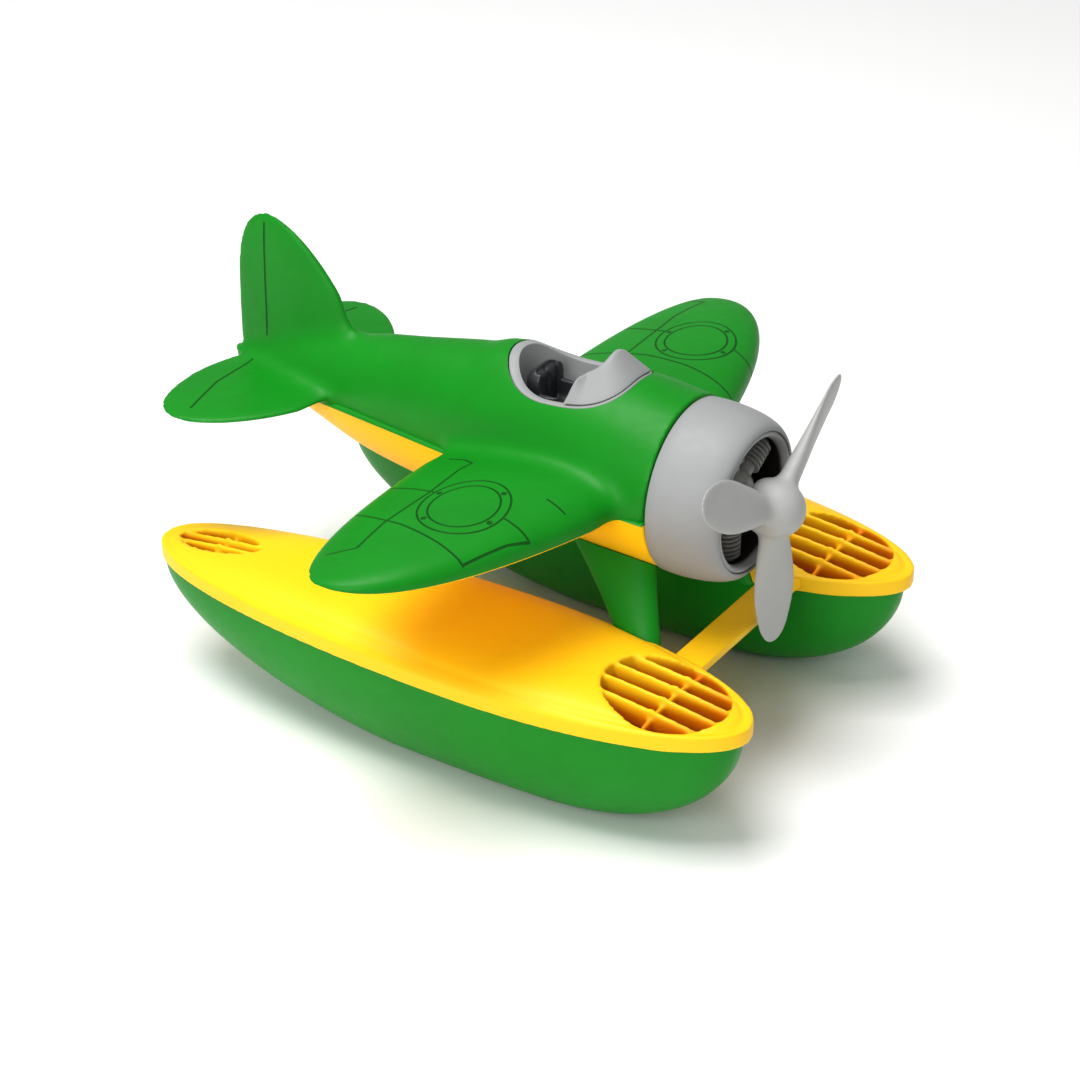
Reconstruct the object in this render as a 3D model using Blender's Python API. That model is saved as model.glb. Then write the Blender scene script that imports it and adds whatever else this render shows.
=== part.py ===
"""Toy floatplane: two hollow floats, a moulded airframe and a propeller that turns.

The nose points along +X and port is +Y. The origin is on the floor under the
middle of the bounding box, so the keels touch Z = 0.
"""

import math

import bmesh
import bpy
from mathutils import Matrix, Vector

MM = 0.001

# Whole toy
LENGTH = 239 * MM
SPAN = 241 * MM
GAP = 0.3 * MM  # between pieces that touch
PAST = 5 * MM  # how far a cutting form starts below what it cuts
PAST_LID = 25 * MM  # how far it goes up through a lid
WELD = 0.02 * MM

# Lids of the floats
FLOAT_FRONT = LENGTH / 2
FLOAT_REAR = -109.5 * MM
FLOAT_WIDEST = 27 * MM  # station of the greatest beam
FLOAT_HALF_BEAM = 29.8 * MM
FLOAT_OFFSET = 55 * MM  # centre line of each float from the centre plane
BOW_FULLNESS = (2.0, 2.0)
STERN_FULLNESS = (2.0, 2.2)
RIM_HEIGHT = 5.6 * MM
SHOULDER_RISE = 1.6 * MM
DECK_ARCH = 4.8 * MM
ARCH_POWER = 3.0
LID_WALL = 2 * MM
OUTLINE_POINTS = 40

# Hulls under the lids
HULL_TOP = 39.5 * MM
HULL_FRONT = 116 * MM
HULL_REAR = -108.3 * MM
HULL_STEP = 1.2 * MM  # the lid stands out this far past the side of the hull
HULL_WALL = 2 * MM
KEEL = (-2 * MM, 50 * MM)  # level stretch of the keel
KEEL_FLAT = 0.65 * MM  # the round of the keel cut off flat
HULL_BOW_RISE = (2.4, 2.0)
HULL_STERN_RISE = (1.55, 1.8)
HULL_ROUND = 2.4

# Grilles: station, half length, half width, slats, cross rib offset
GRILLE_FRONT = (89.5 * MM, 21 * MM, 18.4 * MM, 4, 1.5 * MM)
GRILLE_REAR = (-86.3 * MM, 17 * MM, 7 * MM, 2, 1.5 * MM)
GRILLE_DEPTH = 9.5 * MM
SLAT = 1.5 * MM
WELL_WALL = 1.5 * MM
SLAT_FOOT = 0.4 * MM  # how high the slats start above the floor of the well
SLAT_DROP = 0.5 * MM
RIB_DROP = 2.6 * MM

# Struts: x rear, x front, y, half thickness at each height
STRUT_FOOT = (58 * MM, 73.5 * MM, 30.5 * MM, 3.6 * MM, HULL_TOP + GAP)
STRUT_KNEE = (49 * MM, 68.5 * MM, 25 * MM, 4.0 * MM, 51.5 * MM)
STRUT_HEAD = (28 * MM, 60 * MM, 13.5 * MM, 4.6 * MM, 67.5 * MM)

# Crossbars
BAR_THICKNESS = 3 * MM
BAR_TOP = HULL_TOP + RIM_HEIGHT
FRONT_BAR = (78 * MM, 89.5 * MM)
REAR_BAR = (-37 * MM, -27 * MM)

# Fuselage: station, half width, bottom, top
FUSELAGE = (
    (-117 * MM, 3.2 * MM, 87 * MM, 93 * MM),
    (-84 * MM, 10.5 * MM, 76 * MM, 104 * MM),
    (-62 * MM, 14 * MM, 68.3 * MM, 109.5 * MM),
    (-40 * MM, 17.3 * MM, 64.5 * MM, 113.5 * MM),
    (-16 * MM, 21 * MM, 62.5 * MM, 118.1 * MM),
    (9 * MM, 24.5 * MM, 61.5 * MM, 121.6 * MM),
    (44 * MM, 28 * MM, 61.1 * MM, 121.5 * MM),
    (64.7 * MM, 29 * MM, 61 * MM, 119 * MM),
)
BODY_ROUND = 2.0
BODY_POINTS = 28
PARTING = 85.5 * MM  # height of the joint between the two mouldings
BELT_WIDTH = 1.4 * MM
BELT_HEIGHT = 2.6 * MM
BELT_START = 8 * MM  # ahead of the end of the tail cone
TAIL_BALL = 2.6 * MM
TAIL_BALL_RISE = 0.6 * MM  # above the tailplane's own height

# Wing: tip station, reach forward and back at the root, dihedral as a slope
WING_TIP = 6 * MM
WING_REACH = (53.5 * MM, 22 * MM)
WING_LEAD = (1.35, 2.4)
WING_TRAIL = (2.5, 2.0)
DIHEDRAL = 0.057
WING_TOP = (11.6 * MM, 6.2 * MM)  # height over the joint, root and tip
WING_UNDER = (4.0 * MM, 2.2 * MM)
WING_FULLER = 0.45  # how much fuller the section is at its leading edge
WING_INSET = 1.0 * MM  # the lower skin sits this far inside the upper

# Tailplane and fin
TAIL_TIP = -102 * MM
TAIL_HALF_SPAN = 54 * MM
TAIL_REACH = (37 * MM, 11 * MM, 6.5 * MM)
TAIL_LEAD = (1.9, 1.6)
TAIL_HEIGHT = 89.7 * MM
TAIL_THICK = (2.6 * MM, 1.6 * MM)
FIN_BASE = 91.5 * MM
FIN_TOP = 144.6 * MM
FIN_TRAIL = -116.5 * MM
FIN_CREST = -102.5 * MM
FIN_CHORD = 41.5 * MM
FIN_LEAD = (1.45, 1.6)
FIN_THICK = (3.6 * MM, 1.6 * MM)

# Cockpit opening, seen from above
PIT_REAR = -1.7 * MM
PIT_WIDEST = 23 * MM
PIT_FRONT = 46.3 * MM
PIT_HALF_WIDTH = 17.9 * MM
PIT_AHEAD = (2.75, 3.0)
PIT_BEHIND = (2.5, 2.0)
PIT_INSET = (1.3, 1.3)  # share of an inset that applies ahead and behind
PIT_OVER = 35 * MM  # how far the room of the opening is cut up
PIT_FLOOR = 97.5 * MM
TUB_BASE = 95 * MM
TUB_WALL = 2.8 * MM
SCREEN_WALL = 1.8 * MM
SCREEN_REAR = 27.5 * MM
SCREEN_RISE = 7.4 * MM
SCREEN_INSET = 0.6 * MM
SCREEN_RUN = (4 * MM, 7 * MM)  # run in which it reaches its height, and its lean
SCREEN_PIVOT = 28 * MM  # the screen leans towards this station
SCREEN_LEAN = 0.45
SEAT_X = 12.5 * MM
SEAT_SIZE = (14 * MM, 15.5 * MM, 19.5 * MM)
SEAT_BACK = 5 * MM
SEAT_SIDE = 2.2 * MM
CUSHION = 6 * MM
SEAT_ROUND = 3.5 * MM

# Nose
AXIS_HEIGHT = 89.3 * MM
COWL_REAR = 65 * MM
COWL_SHOULDER = 69 * MM
COWL_FRONT = 89 * MM
COWL_BELLY = 29.2 * MM
COWL_MOUTH = 21 * MM
COWL_BACK = 29 * MM
COWL_WALL = 2.2 * MM
COWL_LIP = 2.6 * MM
COWL_EDGE = ((0.0, 1.3 * MM), (0.8 * MM, 0.3 * MM), (2 * MM, 0.0), (2.8 * MM, 1 * MM))  # back, out
CYLINDERS = 6
FIRST_CYLINDER = math.radians(29)
CYLINDER_X = 78.5 * MM
BARREL = 3.6 * MM
FIN_RING = 5.1 * MM
FINS = 3
FIRST_FIN = 12.6 * MM  # height of the lowest fin above the axis
BARREL_ROOT = 6 * MM  # inside the crankcase
BARREL_CAP = 0.8 * MM
BARREL_BEVEL = 1.2 * MM
FIN_MARGIN = 1.6 * MM
FIN_SHARE = 0.45  # thickness of a cooling ring as a share of the pitch
ENGINE_REACH = 23.6 * MM
CRANKCASE = 9.5 * MM
CRANKCASE_FRONT = 85 * MM
CRANKCASE_FLANGE = (5 * MM, 2 * MM)  # length and height of its foot
CRANKCASE_DOME = (6 * MM, 1.5 * MM, 2 * MM, 4 * MM)  # two steps of its nose

# Propeller
BLADES = 3
BLADE_PLANE = 95.5 * MM
BLADE_REACH = 51.4 * MM
BLADE_ROOT = 4 * MM
BLADE_CHORD = 18 * MM
BLADE_THICK = (8.0 * MM, 2.4 * MM)
BLADE_PITCH = (math.radians(30), math.radians(13))
BLADE_SWELL = (0.6, 0.4, 0.7)  # root width, what it gains, and where along the blade
FIRST_BLADE = math.radians(34.3)
HUB_RADIUS = 9.5 * MM
HUB_REAR = 88 * MM
HUB_FRONT = 106 * MM
HUB_EDGE = ((0.0, 2.5 * MM), (2 * MM, 0.5 * MM))  # rounded rear edge: along, in from the radius
HUB_SHOULDER = 1 * MM  # ahead of the blade plane, where the dome starts
AXLE = 2.5 * MM
BORE_DEPTH = 12 * MM
AXLE_SHORT = 1 * MM  # its end stays this far from the end of the bore


def superellipse(t, power, root):
    """Height of a unit curve that falls from 1 at t = 0 to 0 at t = 1."""
    return max(0.0, 1.0 - abs(t) ** power) ** (1.0 / root)


def blend(pair, t):
    """Value between the two numbers of a pair."""
    return pair[0] + (pair[1] - pair[0]) * t


def smooth_row(rows, x):
    """Row of values at x, on a smooth curve through the given rows."""
    x = min(max(x, rows[0][0]), rows[-1][0])
    i = next(k for k in range(len(rows) - 1) if x <= rows[k + 1][0])
    before, low = rows[max(i - 1, 0)], rows[i]
    high, after = rows[i + 1], rows[min(i + 2, len(rows) - 1)]
    width = high[0] - low[0]
    t = (x - low[0]) / width
    values = []
    for k in range(1, len(low)):
        slope_low = (high[k] - before[k]) / (high[0] - before[0]) * width
        slope_high = (after[k] - low[k]) / (after[0] - low[0]) * width
        rise = high[k] - low[k]
        curve = 3 * rise - 2 * slope_low - slope_high
        twist = slope_low + slope_high - 2 * rise
        values.append(low[k] + t * (slope_low + t * (curve + t * twist)))
    return values


def clear_scene():
    """Remove what the start-up file holds."""
    for item in list(bpy.data.objects):
        bpy.data.objects.remove(item, do_unlink=True)


def new_collection(name):
    """Collection under the scene."""
    made = bpy.data.collections.new(name)
    bpy.context.scene.collection.children.link(made)
    return made


def new_material(name, colour, roughness):
    """Plain moulded plastic of one colour."""
    made = bpy.data.materials.new(name)
    made.use_nodes = True
    shader = made.node_tree.nodes["Principled BSDF"]
    shader.inputs["Base Color"].default_value = (*colour, 1.0)
    shader.inputs["Roughness"].default_value = roughness
    shader.inputs["Metallic"].default_value = 0.0
    return made


def object_from(bm, name, collection, material=None):
    """Object that holds a finished mesh."""
    bmesh.ops.recalc_face_normals(bm, faces=bm.faces)
    mesh = bpy.data.meshes.new(name)
    bm.to_mesh(mesh)
    bm.free()
    if material:
        mesh.materials.append(material)
    mesh.shade_smooth()
    mesh.set_sharp_from_angle(angle=math.radians(35))
    made = bpy.data.objects.new(name, mesh)
    collection.objects.link(made)
    if collection is GUIDES:
        made.hide_render = True
        made.display_type = "WIRE"
    return made


def loft(name, rings, collection, material=None):
    """Solid skinned over closed rings with the same number of points."""
    bm = bmesh.new()
    loops = [[bm.verts.new(point) for point in ring] for ring in rings]
    count = len(loops[0])
    for low, high in zip(loops, loops[1:]):
        for i in range(count):
            j = (i + 1) % count
            bm.faces.new((low[i], low[j], high[j], high[i]))
    bm.faces.new(loops[0])
    bm.faces.new(loops[-1])
    return object_from(bm, name, collection, material)


def box(name, low, high, collection, material=None):
    """Box between two corners."""
    bm = bmesh.new()
    bmesh.ops.create_cube(bm, size=1.0)
    for vert in bm.verts:
        for k in range(3):
            vert.co[k] = low[k] if vert.co[k] < 0 else high[k]
    return object_from(bm, name, collection, material)


def prism(name, outline, low, high, collection, material=None):
    """Flat outline carried straight up from one height to another."""
    rings = [[Vector((x, y, z)) for x, y in outline] for z in (low, high)]
    return loft(name, rings, collection, material)


def turned(name, profile, steps, collection, material=None):
    """Solid of revolution about the X axis through the nose, from (x, radius) points."""
    bm = bmesh.new()
    verts = [bm.verts.new((x, 0.0, radius)) for x, radius in profile]
    for a, b in zip(verts, verts[1:] + verts[:1]):
        if a.co.z > 0 or b.co.z > 0:
            bm.edges.new((a, b))
    bmesh.ops.spin(
        bm,
        geom=bm.verts[:] + bm.edges[:],
        cent=(0, 0, 0),
        axis=(1, 0, 0),
        angle=math.tau,
        steps=steps,
    )
    bmesh.ops.remove_doubles(bm, verts=bm.verts, dist=0.00001)
    bmesh.ops.translate(bm, verts=bm.verts, vec=(0, 0, AXIS_HEIGHT))
    return object_from(bm, name, collection, material)


def weld_mesh(mesh):
    """Join points that a cut left almost on top of each other."""
    bm = bmesh.new()
    bm.from_mesh(mesh)
    bmesh.ops.remove_doubles(bm, verts=bm.verts, dist=WELD)
    bmesh.ops.dissolve_degenerate(bm, edges=bm.edges, dist=WELD / 2)
    bm.to_mesh(mesh)
    bm.free()


def combine(target, other, operation):
    """Boolean between two objects, worked out at once. The other becomes a guide."""
    modifier = target.modifiers.new(operation.lower(), "BOOLEAN")
    modifier.operation = operation
    modifier.object = other
    modifier.solver = "EXACT"
    graph = bpy.context.evaluated_depsgraph_get()
    result = bpy.data.meshes.new_from_object(target.evaluated_get(graph))
    target.modifiers.clear()
    old = target.data
    target.data = result
    bpy.data.meshes.remove(old)
    weld_mesh(result)
    return target


def half_beam(x, front, rear, beam):
    """Half width at station x of a float plan with the given ends and beam."""
    if x >= FLOAT_WIDEST:
        return beam * superellipse((x - FLOAT_WIDEST) / (front - FLOAT_WIDEST), *BOW_FULLNESS)
    return beam * superellipse((FLOAT_WIDEST - x) / (FLOAT_WIDEST - rear), *STERN_FULLNESS)


def float_outline(inset, centre):
    """Plan of a lid, drawn in from its edge by the inset."""
    front, rear = FLOAT_FRONT - inset, FLOAT_REAR + inset
    points = []
    for i in range(OUTLINE_POINTS):
        angle = math.tau * (i + 0.5) / OUTLINE_POINTS
        along = math.cos(angle)
        x = FLOAT_WIDEST + along * (front - FLOAT_WIDEST if along > 0 else FLOAT_WIDEST - rear)
        half = half_beam(x, front, rear, FLOAT_HALF_BEAM - inset)
        points.append((x, centre + math.copysign(half, math.sin(angle))))
    return points


def hull_depth(x, front, rear, deepest):
    """Depth of a hull below its rim at station x: level keel, rounded rise to both ends."""
    if x > KEEL[1]:
        return deepest * superellipse((x - KEEL[1]) / (front - KEEL[1]), *HULL_BOW_RISE)
    if x < KEEL[0]:
        return deepest * superellipse((KEEL[0] - x) / (KEEL[0] - rear), *HULL_STERN_RISE)
    return deepest


def hull_body(name, centre, shrink, top, collection, material=None):
    """Boat shape under the rim, skinned over sections. The shrink gives the inner wall."""
    front, rear = HULL_FRONT - shrink, HULL_REAR + shrink
    deepest = HULL_TOP + KEEL_FLAT - shrink
    beam = FLOAT_HALF_BEAM - HULL_STEP - shrink
    middle, half = 0.5 * (front + rear), 0.5 * (front - rear)
    steps, count = 24, 18
    rings = []
    for step in range(steps + 1):
        x = middle - half * math.cos(math.pi * (step + 0.35) / (steps + 0.7))
        width = half_beam(x, front, rear, beam)
        depth = hull_depth(x, front, rear, deepest)
        ring = []
        for i in range(count + 1):
            angle = math.pi * i / count
            y = width * math.copysign(abs(math.cos(angle)) ** (2 / HULL_ROUND), math.cos(angle))
            z = HULL_TOP - depth * math.sin(angle) ** (2 / HULL_ROUND)
            ring.append(Vector((x, centre + y, max(z, shrink))))
        if top > HULL_TOP:
            ring.append(Vector((x, centre - width, top)))
            ring.append(Vector((x, centre + width, top)))
        rings.append(ring)
    return loft(name, rings, collection, material)


def float_hull(name, centre):
    """Hollow green hull, open at the top under the lid."""
    hull = hull_body(name, centre, 0.0, HULL_TOP, PARTS, GREEN)
    inside = hull_body("hollow_" + name, centre, HULL_WALL, HULL_TOP + PAST, GUIDES)
    combine(hull, inside, "DIFFERENCE")
    return hull


def deck_height(x, scale):
    """Height of the lid's top at station x, on a ring drawn in to a scale."""
    middle = 0.5 * (FLOAT_FRONT + FLOAT_REAR)
    half = 0.5 * (FLOAT_FRONT - FLOAT_REAR)
    arch = DECK_ARCH * (1.0 - abs((x - middle) / half) ** ARCH_POWER)
    inner = 1.0 - scale**6
    return HULL_TOP + GAP + RIM_HEIGHT + SHOULDER_RISE * inner + arch * inner


def lid_top(x, away):
    """Height of the lid's top at station x, a distance away from the float's centre line."""
    middle = 0.5 * (FLOAT_FRONT + FLOAT_REAR)
    low, high = 0.0, 1.0
    for _ in range(20):
        scale = 0.5 * (low + high)
        reach = middle + (x - middle) / scale
        if FLOAT_REAR < reach < FLOAT_FRONT and (
            abs(away) / scale < half_beam(reach, FLOAT_FRONT, FLOAT_REAR, FLOAT_HALF_BEAM)
        ):
            high = scale
        else:
            low = scale
    return deck_height(x, high)


def lid_ring(plan, centre, scale, drop):
    """Ring of a lid's top, drawn in to a scale and lowered by the drop."""
    middle = 0.5 * (FLOAT_FRONT + FLOAT_REAR)
    ring = []
    for x, y in plan:
        px = middle + (x - middle) * scale
        py = centre + (y - centre) * scale
        ring.append(Vector((px, py, deck_height(px, scale) - drop)))
    return ring


def lid_skin(name, centre):
    """Lid as a thick skin: rim, shoulder and arched top."""
    outer = float_outline(0.0, centre)
    inner = float_outline(LID_WALL, centre)
    rim_low = HULL_TOP + GAP
    under = [lid_ring(inner, centre, scale, LID_WALL) for scale in (0.12, 0.4, 0.7, 0.88, 0.97, 1.0)]
    edge = [[Vector((x, y, rim_low)) for x, y in plan] for plan in (inner, outer)]
    above = [lid_ring(outer, centre, scale, 0.0) for scale in (1.0, 0.985, 0.95, 0.88, 0.7, 0.4, 0.12)]
    return loft(name, under + edge + above, PARTS, YELLOW)


def oval(centre_x, centre_y, half_length, half_width, count=26):
    """Points of an ellipse seen from above."""
    points = []
    for i in range(count):
        angle = math.tau * i / count
        points.append((centre_x + half_length * math.cos(angle), centre_y + half_width * math.sin(angle)))
    return points


def sloped_bar(name, ends, width, low, high):
    """Bar of the given width between two plan points, with a height range at each end."""
    (x0, y0), (x1, y1) = ends
    aside = Vector((y0 - y1, x1 - x0, 0)).normalized() * (width / 2)
    rings = []
    for (x, y), bottom, top in zip(ends, low, high):
        middle = Vector((x, y, 0))
        rings.append(
            [
                middle - aside + Vector((0, 0, bottom)),
                middle + aside + Vector((0, 0, bottom)),
                middle + aside + Vector((0, 0, top)),
                middle - aside + Vector((0, 0, top)),
            ]
        )
    return loft(name, rings, GUIDES)


def grille(lid, centre, spec, name):
    """Cut an oval well in the lid and set slats and a cross rib in it."""
    x, half_length, half_width, slats, rib_offset = spec
    floor = lid_top(x, 0.0) - GRILLE_DEPTH
    outer = oval(x, centre, half_length + WELL_WALL, half_width + WELL_WALL)
    inner = oval(x, centre, half_length, half_width)
    wall = [
        [Vector((px, py, floor)) for px, py in outer],
        [Vector((px, py, lid_top(px, py - centre) - 0.5 * LID_WALL)) for px, py in outer],
    ]
    combine(lid, loft("well_" + name, wall, GUIDES), "UNION")
    hole = prism("hole_" + name, inner, floor - PAST, floor + PAST_LID, GUIDES)
    combine(lid, hole, "DIFFERENCE")
    for k in range(slats):
        across = half_width * (2 * (k + 1) / (slats + 1) - 1)
        reach = half_length * math.sqrt(1 - (across / half_width) ** 2) + 0.6 * WELL_WALL
        ends = [(x - reach, centre + across), (x + reach, centre + across)]
        tops = [lid_top(px, across) - SLAT_DROP for px, _ in ends]
        bar = sloped_bar("slat_%s_%d" % (name, k), ends, SLAT, (floor + SLAT_FOOT,) * 2, tops)
        combine(lid, bar, "UNION")
    reach = half_width * math.sqrt(1 - (rib_offset / half_length) ** 2) + 0.6 * WELL_WALL
    ends = [(x + rib_offset, centre - reach), (x + rib_offset, centre + reach)]
    tops = [lid_top(x + rib_offset, reach) - RIB_DROP] * 2
    rib = sloped_bar("rib_" + name, ends, SLAT, (floor + 2 * SLAT_FOOT,) * 2, tops)
    combine(lid, rib, "UNION")


def strut_rings(side, grow):
    """Sections of a strut from foot to head."""
    rings = []
    for rear, front, offset, half, height in (STRUT_FOOT, STRUT_KNEE, STRUT_HEAD):
        middle = 0.5 * (rear + front)
        length = 0.5 * (front - rear) + grow
        ring = []
        for i in range(20):
            angle = math.tau * i / 20
            x = middle + length * math.cos(angle)
            y = side * offset + (half + grow) * math.sin(angle) * (1.0 + 0.25 * math.cos(angle))
            ring.append(Vector((x, y, height)))
        rings.append(ring)
    return rings


def curved_rings(rings, count):
    """More rings on a smooth curve through three."""
    low, mid, high = rings
    made = []
    for k in range(count + 1):
        t = k / count
        weights = ((1 - t) * (1 - 2 * t), 4 * t * (1 - t), t * (2 * t - 1))
        made.append(
            [weights[0] * a + weights[1] * b + weights[2] * c for a, b, c in zip(low, mid, high)]
        )
    return made


def strut(side, name):
    """Green blade from the inner edge of a float up to the belly."""
    made = loft(name, curved_rings(strut_rings(side, 0.0), 6), PARTS, GREEN)
    belly = fuselage_body("belly_room_" + name, GAP, GUIDES)
    combine(made, belly, "DIFFERENCE")
    return made


def float_side(side, suffix):
    """One float: hull, lid with two grilles, and the strut."""
    centre = side * FLOAT_OFFSET
    float_hull("float_hull_" + suffix, centre)
    lid = lid_skin("float_deck_" + suffix, centre)
    grille(lid, centre, GRILLE_FRONT, "front_" + suffix)
    grille(lid, centre, GRILLE_REAR, "rear_" + suffix)
    rings = curved_rings(strut_rings(side, GAP), 6)
    foot = [Vector((p.x, p.y, HULL_TOP - LID_WALL)) for p in rings[0]]
    notch = loft("notch_" + suffix, [foot] + rings, GUIDES)
    combine(lid, notch, "DIFFERENCE")
    strut(side, "strut_" + suffix)


def crossbar(name, rear, front):
    """Flat bar between the lids, its ends shaped to their rims."""
    bar = box(
        name,
        (rear, -FLOAT_OFFSET, BAR_TOP - BAR_THICKNESS),
        (front, FLOAT_OFFSET, BAR_TOP),
        PARTS,
        YELLOW,
    )
    for side in (-1, 1):
        rim = prism(
            "%s_room_%d" % (name, side),
            float_outline(-GAP, side * FLOAT_OFFSET),
            HULL_TOP - PAST,
            HULL_TOP + PAST_LID,
            GUIDES,
        )
        combine(bar, rim, "DIFFERENCE")
    return bar


def fuselage_section(x, grow, count=BODY_POINTS):
    """Closed ring round the body at station x."""
    half, bottom, top = smooth_row(FUSELAGE, x)
    waist = 0.5 * (bottom + top) + 0.1 * (AXIS_HEIGHT - 0.5 * (bottom + top))
    ring = []
    for i in range(count):
        angle = math.tau * i / count
        side = math.copysign(abs(math.cos(angle)) ** (2 / BODY_ROUND), math.cos(angle))
        rise = math.copysign(abs(math.sin(angle)) ** (2 / BODY_ROUND), math.sin(angle))
        reach = (top - waist if rise > 0 else waist - bottom) + grow
        ring.append(Vector((x, (half + grow) * side, waist + reach * rise)))
    return ring


def fuselage_body(name, grow, collection, material=None):
    """Whole body from the tail cone to the joint of the cowl."""
    start, end = FUSELAGE[0][0], FUSELAGE[-1][0]
    stations = [start + (end - start) * k / 18 for k in range(19)]
    return loft(name, [fuselage_section(x, grow) for x in stations], collection, material)


def wing_edges(y, inset):
    """Leading and trailing edge stations at distance y from the centre plane."""
    t = min(abs(y) / (SPAN / 2 - inset), 1.0)
    lead = WING_TIP + (WING_REACH[0] - inset) * superellipse(t, *WING_LEAD)
    trail = WING_TIP - (WING_REACH[1] - inset) * superellipse(t, *WING_TRAIL)
    return lead, trail


def wing_body(name, inset, above, below, collection, material=None):
    """Wing from tip to tip, with its joint plane rising to the tips."""
    half_span = SPAN / 2 - inset
    stations = [math.sin(0.5 * math.pi * k / 13) for k in range(-13, 14)]
    stations[0] = -0.998
    stations[-1] = 0.998
    rings = []
    for station in stations:
        y = station * half_span
        lead, trail = wing_edges(y, inset)
        middle, half_chord = 0.5 * (lead + trail), 0.5 * (lead - trail)
        tip = abs(station)
        rounded = superellipse(tip, 6.0, 2.0)
        plane = PARTING + DIHEDRAL * abs(y)
        ring = []
        for i in range(20):
            angle = math.tau * i / 20
            along, rise = math.cos(angle), math.sin(angle)
            height = blend(above, tip) if rise > 0 else blend(below, tip)
            fuller = 1.0 + WING_FULLER * along
            z = plane + height * rounded * fuller * math.copysign(abs(rise) ** 0.8, rise)
            ring.append(Vector((middle + half_chord * along, y, z)))
        rings.append(ring)
    return loft(name, rings, collection, material)


def tailplane(name):
    """Rounded tailplane, widest behind its middle."""
    rings = []
    steps = 9
    for k in range(-steps, steps + 1):
        t = math.sin(0.5 * math.pi * k / steps) * (0.998 if abs(k) == steps else 1.0)
        away = abs(t)
        forward, back, bulge = TAIL_REACH
        lead = TAIL_TIP + forward * superellipse(away, *TAIL_LEAD)
        sweep = back + bulge * math.sin(0.5 * math.pi * min(2 * away, 1.0))
        trail = TAIL_TIP - sweep * superellipse(away, 5.0, 2.0)
        middle, half = 0.5 * (lead + trail), 0.5 * (lead - trail)
        thick = blend(TAIL_THICK, away) * superellipse(away, 8.0, 2.0)
        ring = []
        for i in range(16):
            angle = math.tau * i / 16
            rise = math.sin(angle)
            z = TAIL_HEIGHT + thick * math.copysign(abs(rise) ** 0.8, rise)
            ring.append(Vector((middle + half * math.cos(angle), t * TAIL_HALF_SPAN, z)))
        rings.append(ring)
    return loft(name, rings, GUIDES)


def tail_fin(name):
    """Tall fin with an upright trailing edge and a swept, curved leading edge."""
    rings = []
    steps = 11
    for k in range(steps + 1):
        t = math.sin(0.5 * math.pi * k / steps) * (0.999 if k == steps else 1.0)
        lead = FIN_CREST + FIN_CHORD * superellipse(t, *FIN_LEAD)
        trail = FIN_TRAIL + (FIN_CREST - FIN_TRAIL) * (1 - superellipse(t, 5.0, 2.0))
        middle, half = 0.5 * (lead + trail), 0.5 * (lead - trail)
        thick = blend(FIN_THICK, t) * superellipse(t, 7.0, 2.0)
        z = FIN_BASE + (FIN_TOP - FIN_BASE) * t
        ring = []
        for i in range(16):
            angle = math.tau * i / 16
            side = math.sin(angle)
            y = thick * math.copysign(abs(side) ** 0.8, side) * (1 + 0.2 * math.cos(angle))
            ring.append(Vector((middle + half * math.cos(angle), y, z)))
        rings.append(ring)
    return loft(name, rings, GUIDES)


def belt(name):
    """Lip of the upper moulding along the joint, from the cowl to the tail."""
    start, end = FUSELAGE[0][0] + BELT_START, FUSELAGE[-1][0]
    stations = [start + (end - start) * k / 14 for k in range(15)]
    outline = []
    for x in stations:
        half = max(p.y for p in fuselage_section(x, 0.0))
        outline.append((x, half + BELT_WIDTH))
    outline += [(x, -y) for x, y in reversed(outline)]
    return prism(name, outline, PARTING, PARTING + BELT_HEIGHT, GUIDES)


def parting_slab(name, low, high):
    """Room above or below the joint, which rises with the wings."""
    reach = SPAN
    edge = PARTING + DIHEDRAL * reach
    shift = low if low is not None else high
    line = [(-reach, edge + shift), (0.0, PARTING + shift), (reach, edge + shift)]
    far = LENGTH if low is not None else -LENGTH
    profile = line + [(reach, far), (-reach, far)]
    rings = [[Vector((x, y, z)) for y, z in profile] for x in (-LENGTH, LENGTH)]
    return loft(name, rings, GUIDES)


def upper_shell():
    """Green moulding: top of the body, wings, tailplane, fin and the cockpit opening."""
    shell = fuselage_body("upper_shell", 0.0, PARTS, GREEN)
    for other in (
        wing_body("wing_top", 0.0, WING_TOP, WING_UNDER, GUIDES),
        tailplane("tail_flat"),
        tail_fin("tail_upright"),
        belt("joint_lip"),
        tail_ball("tail_end"),
    ):
        combine(shell, other, "UNION")
    combine(shell, parting_slab("above_joint", GAP / 2, None), "INTERSECT")
    pit = prism("pit_room", pit_outline(0.0), TUB_BASE - GAP, TUB_BASE + PIT_OVER, GUIDES)
    combine(shell, pit, "DIFFERENCE")
    return shell


def tail_ball(name):
    """Round end of the tail cone."""
    bm = bmesh.new()
    bmesh.ops.create_uvsphere(bm, u_segments=14, v_segments=9, radius=TAIL_BALL)
    bmesh.ops.translate(bm, verts=bm.verts, vec=(-LENGTH / 2 + TAIL_BALL, 0, TAIL_HEIGHT + TAIL_BALL_RISE))
    return object_from(bm, name, GUIDES)


def lower_shell():
    """Yellow moulding: belly and undersides of the wings."""
    shell = fuselage_body("lower_shell", 0.0, PARTS, YELLOW)
    combine(shell, wing_body("wing_under", WING_INSET, WING_TOP, WING_UNDER, GUIDES), "UNION")
    combine(shell, parting_slab("below_joint", None, -GAP / 2), "INTERSECT")
    return shell


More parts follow.
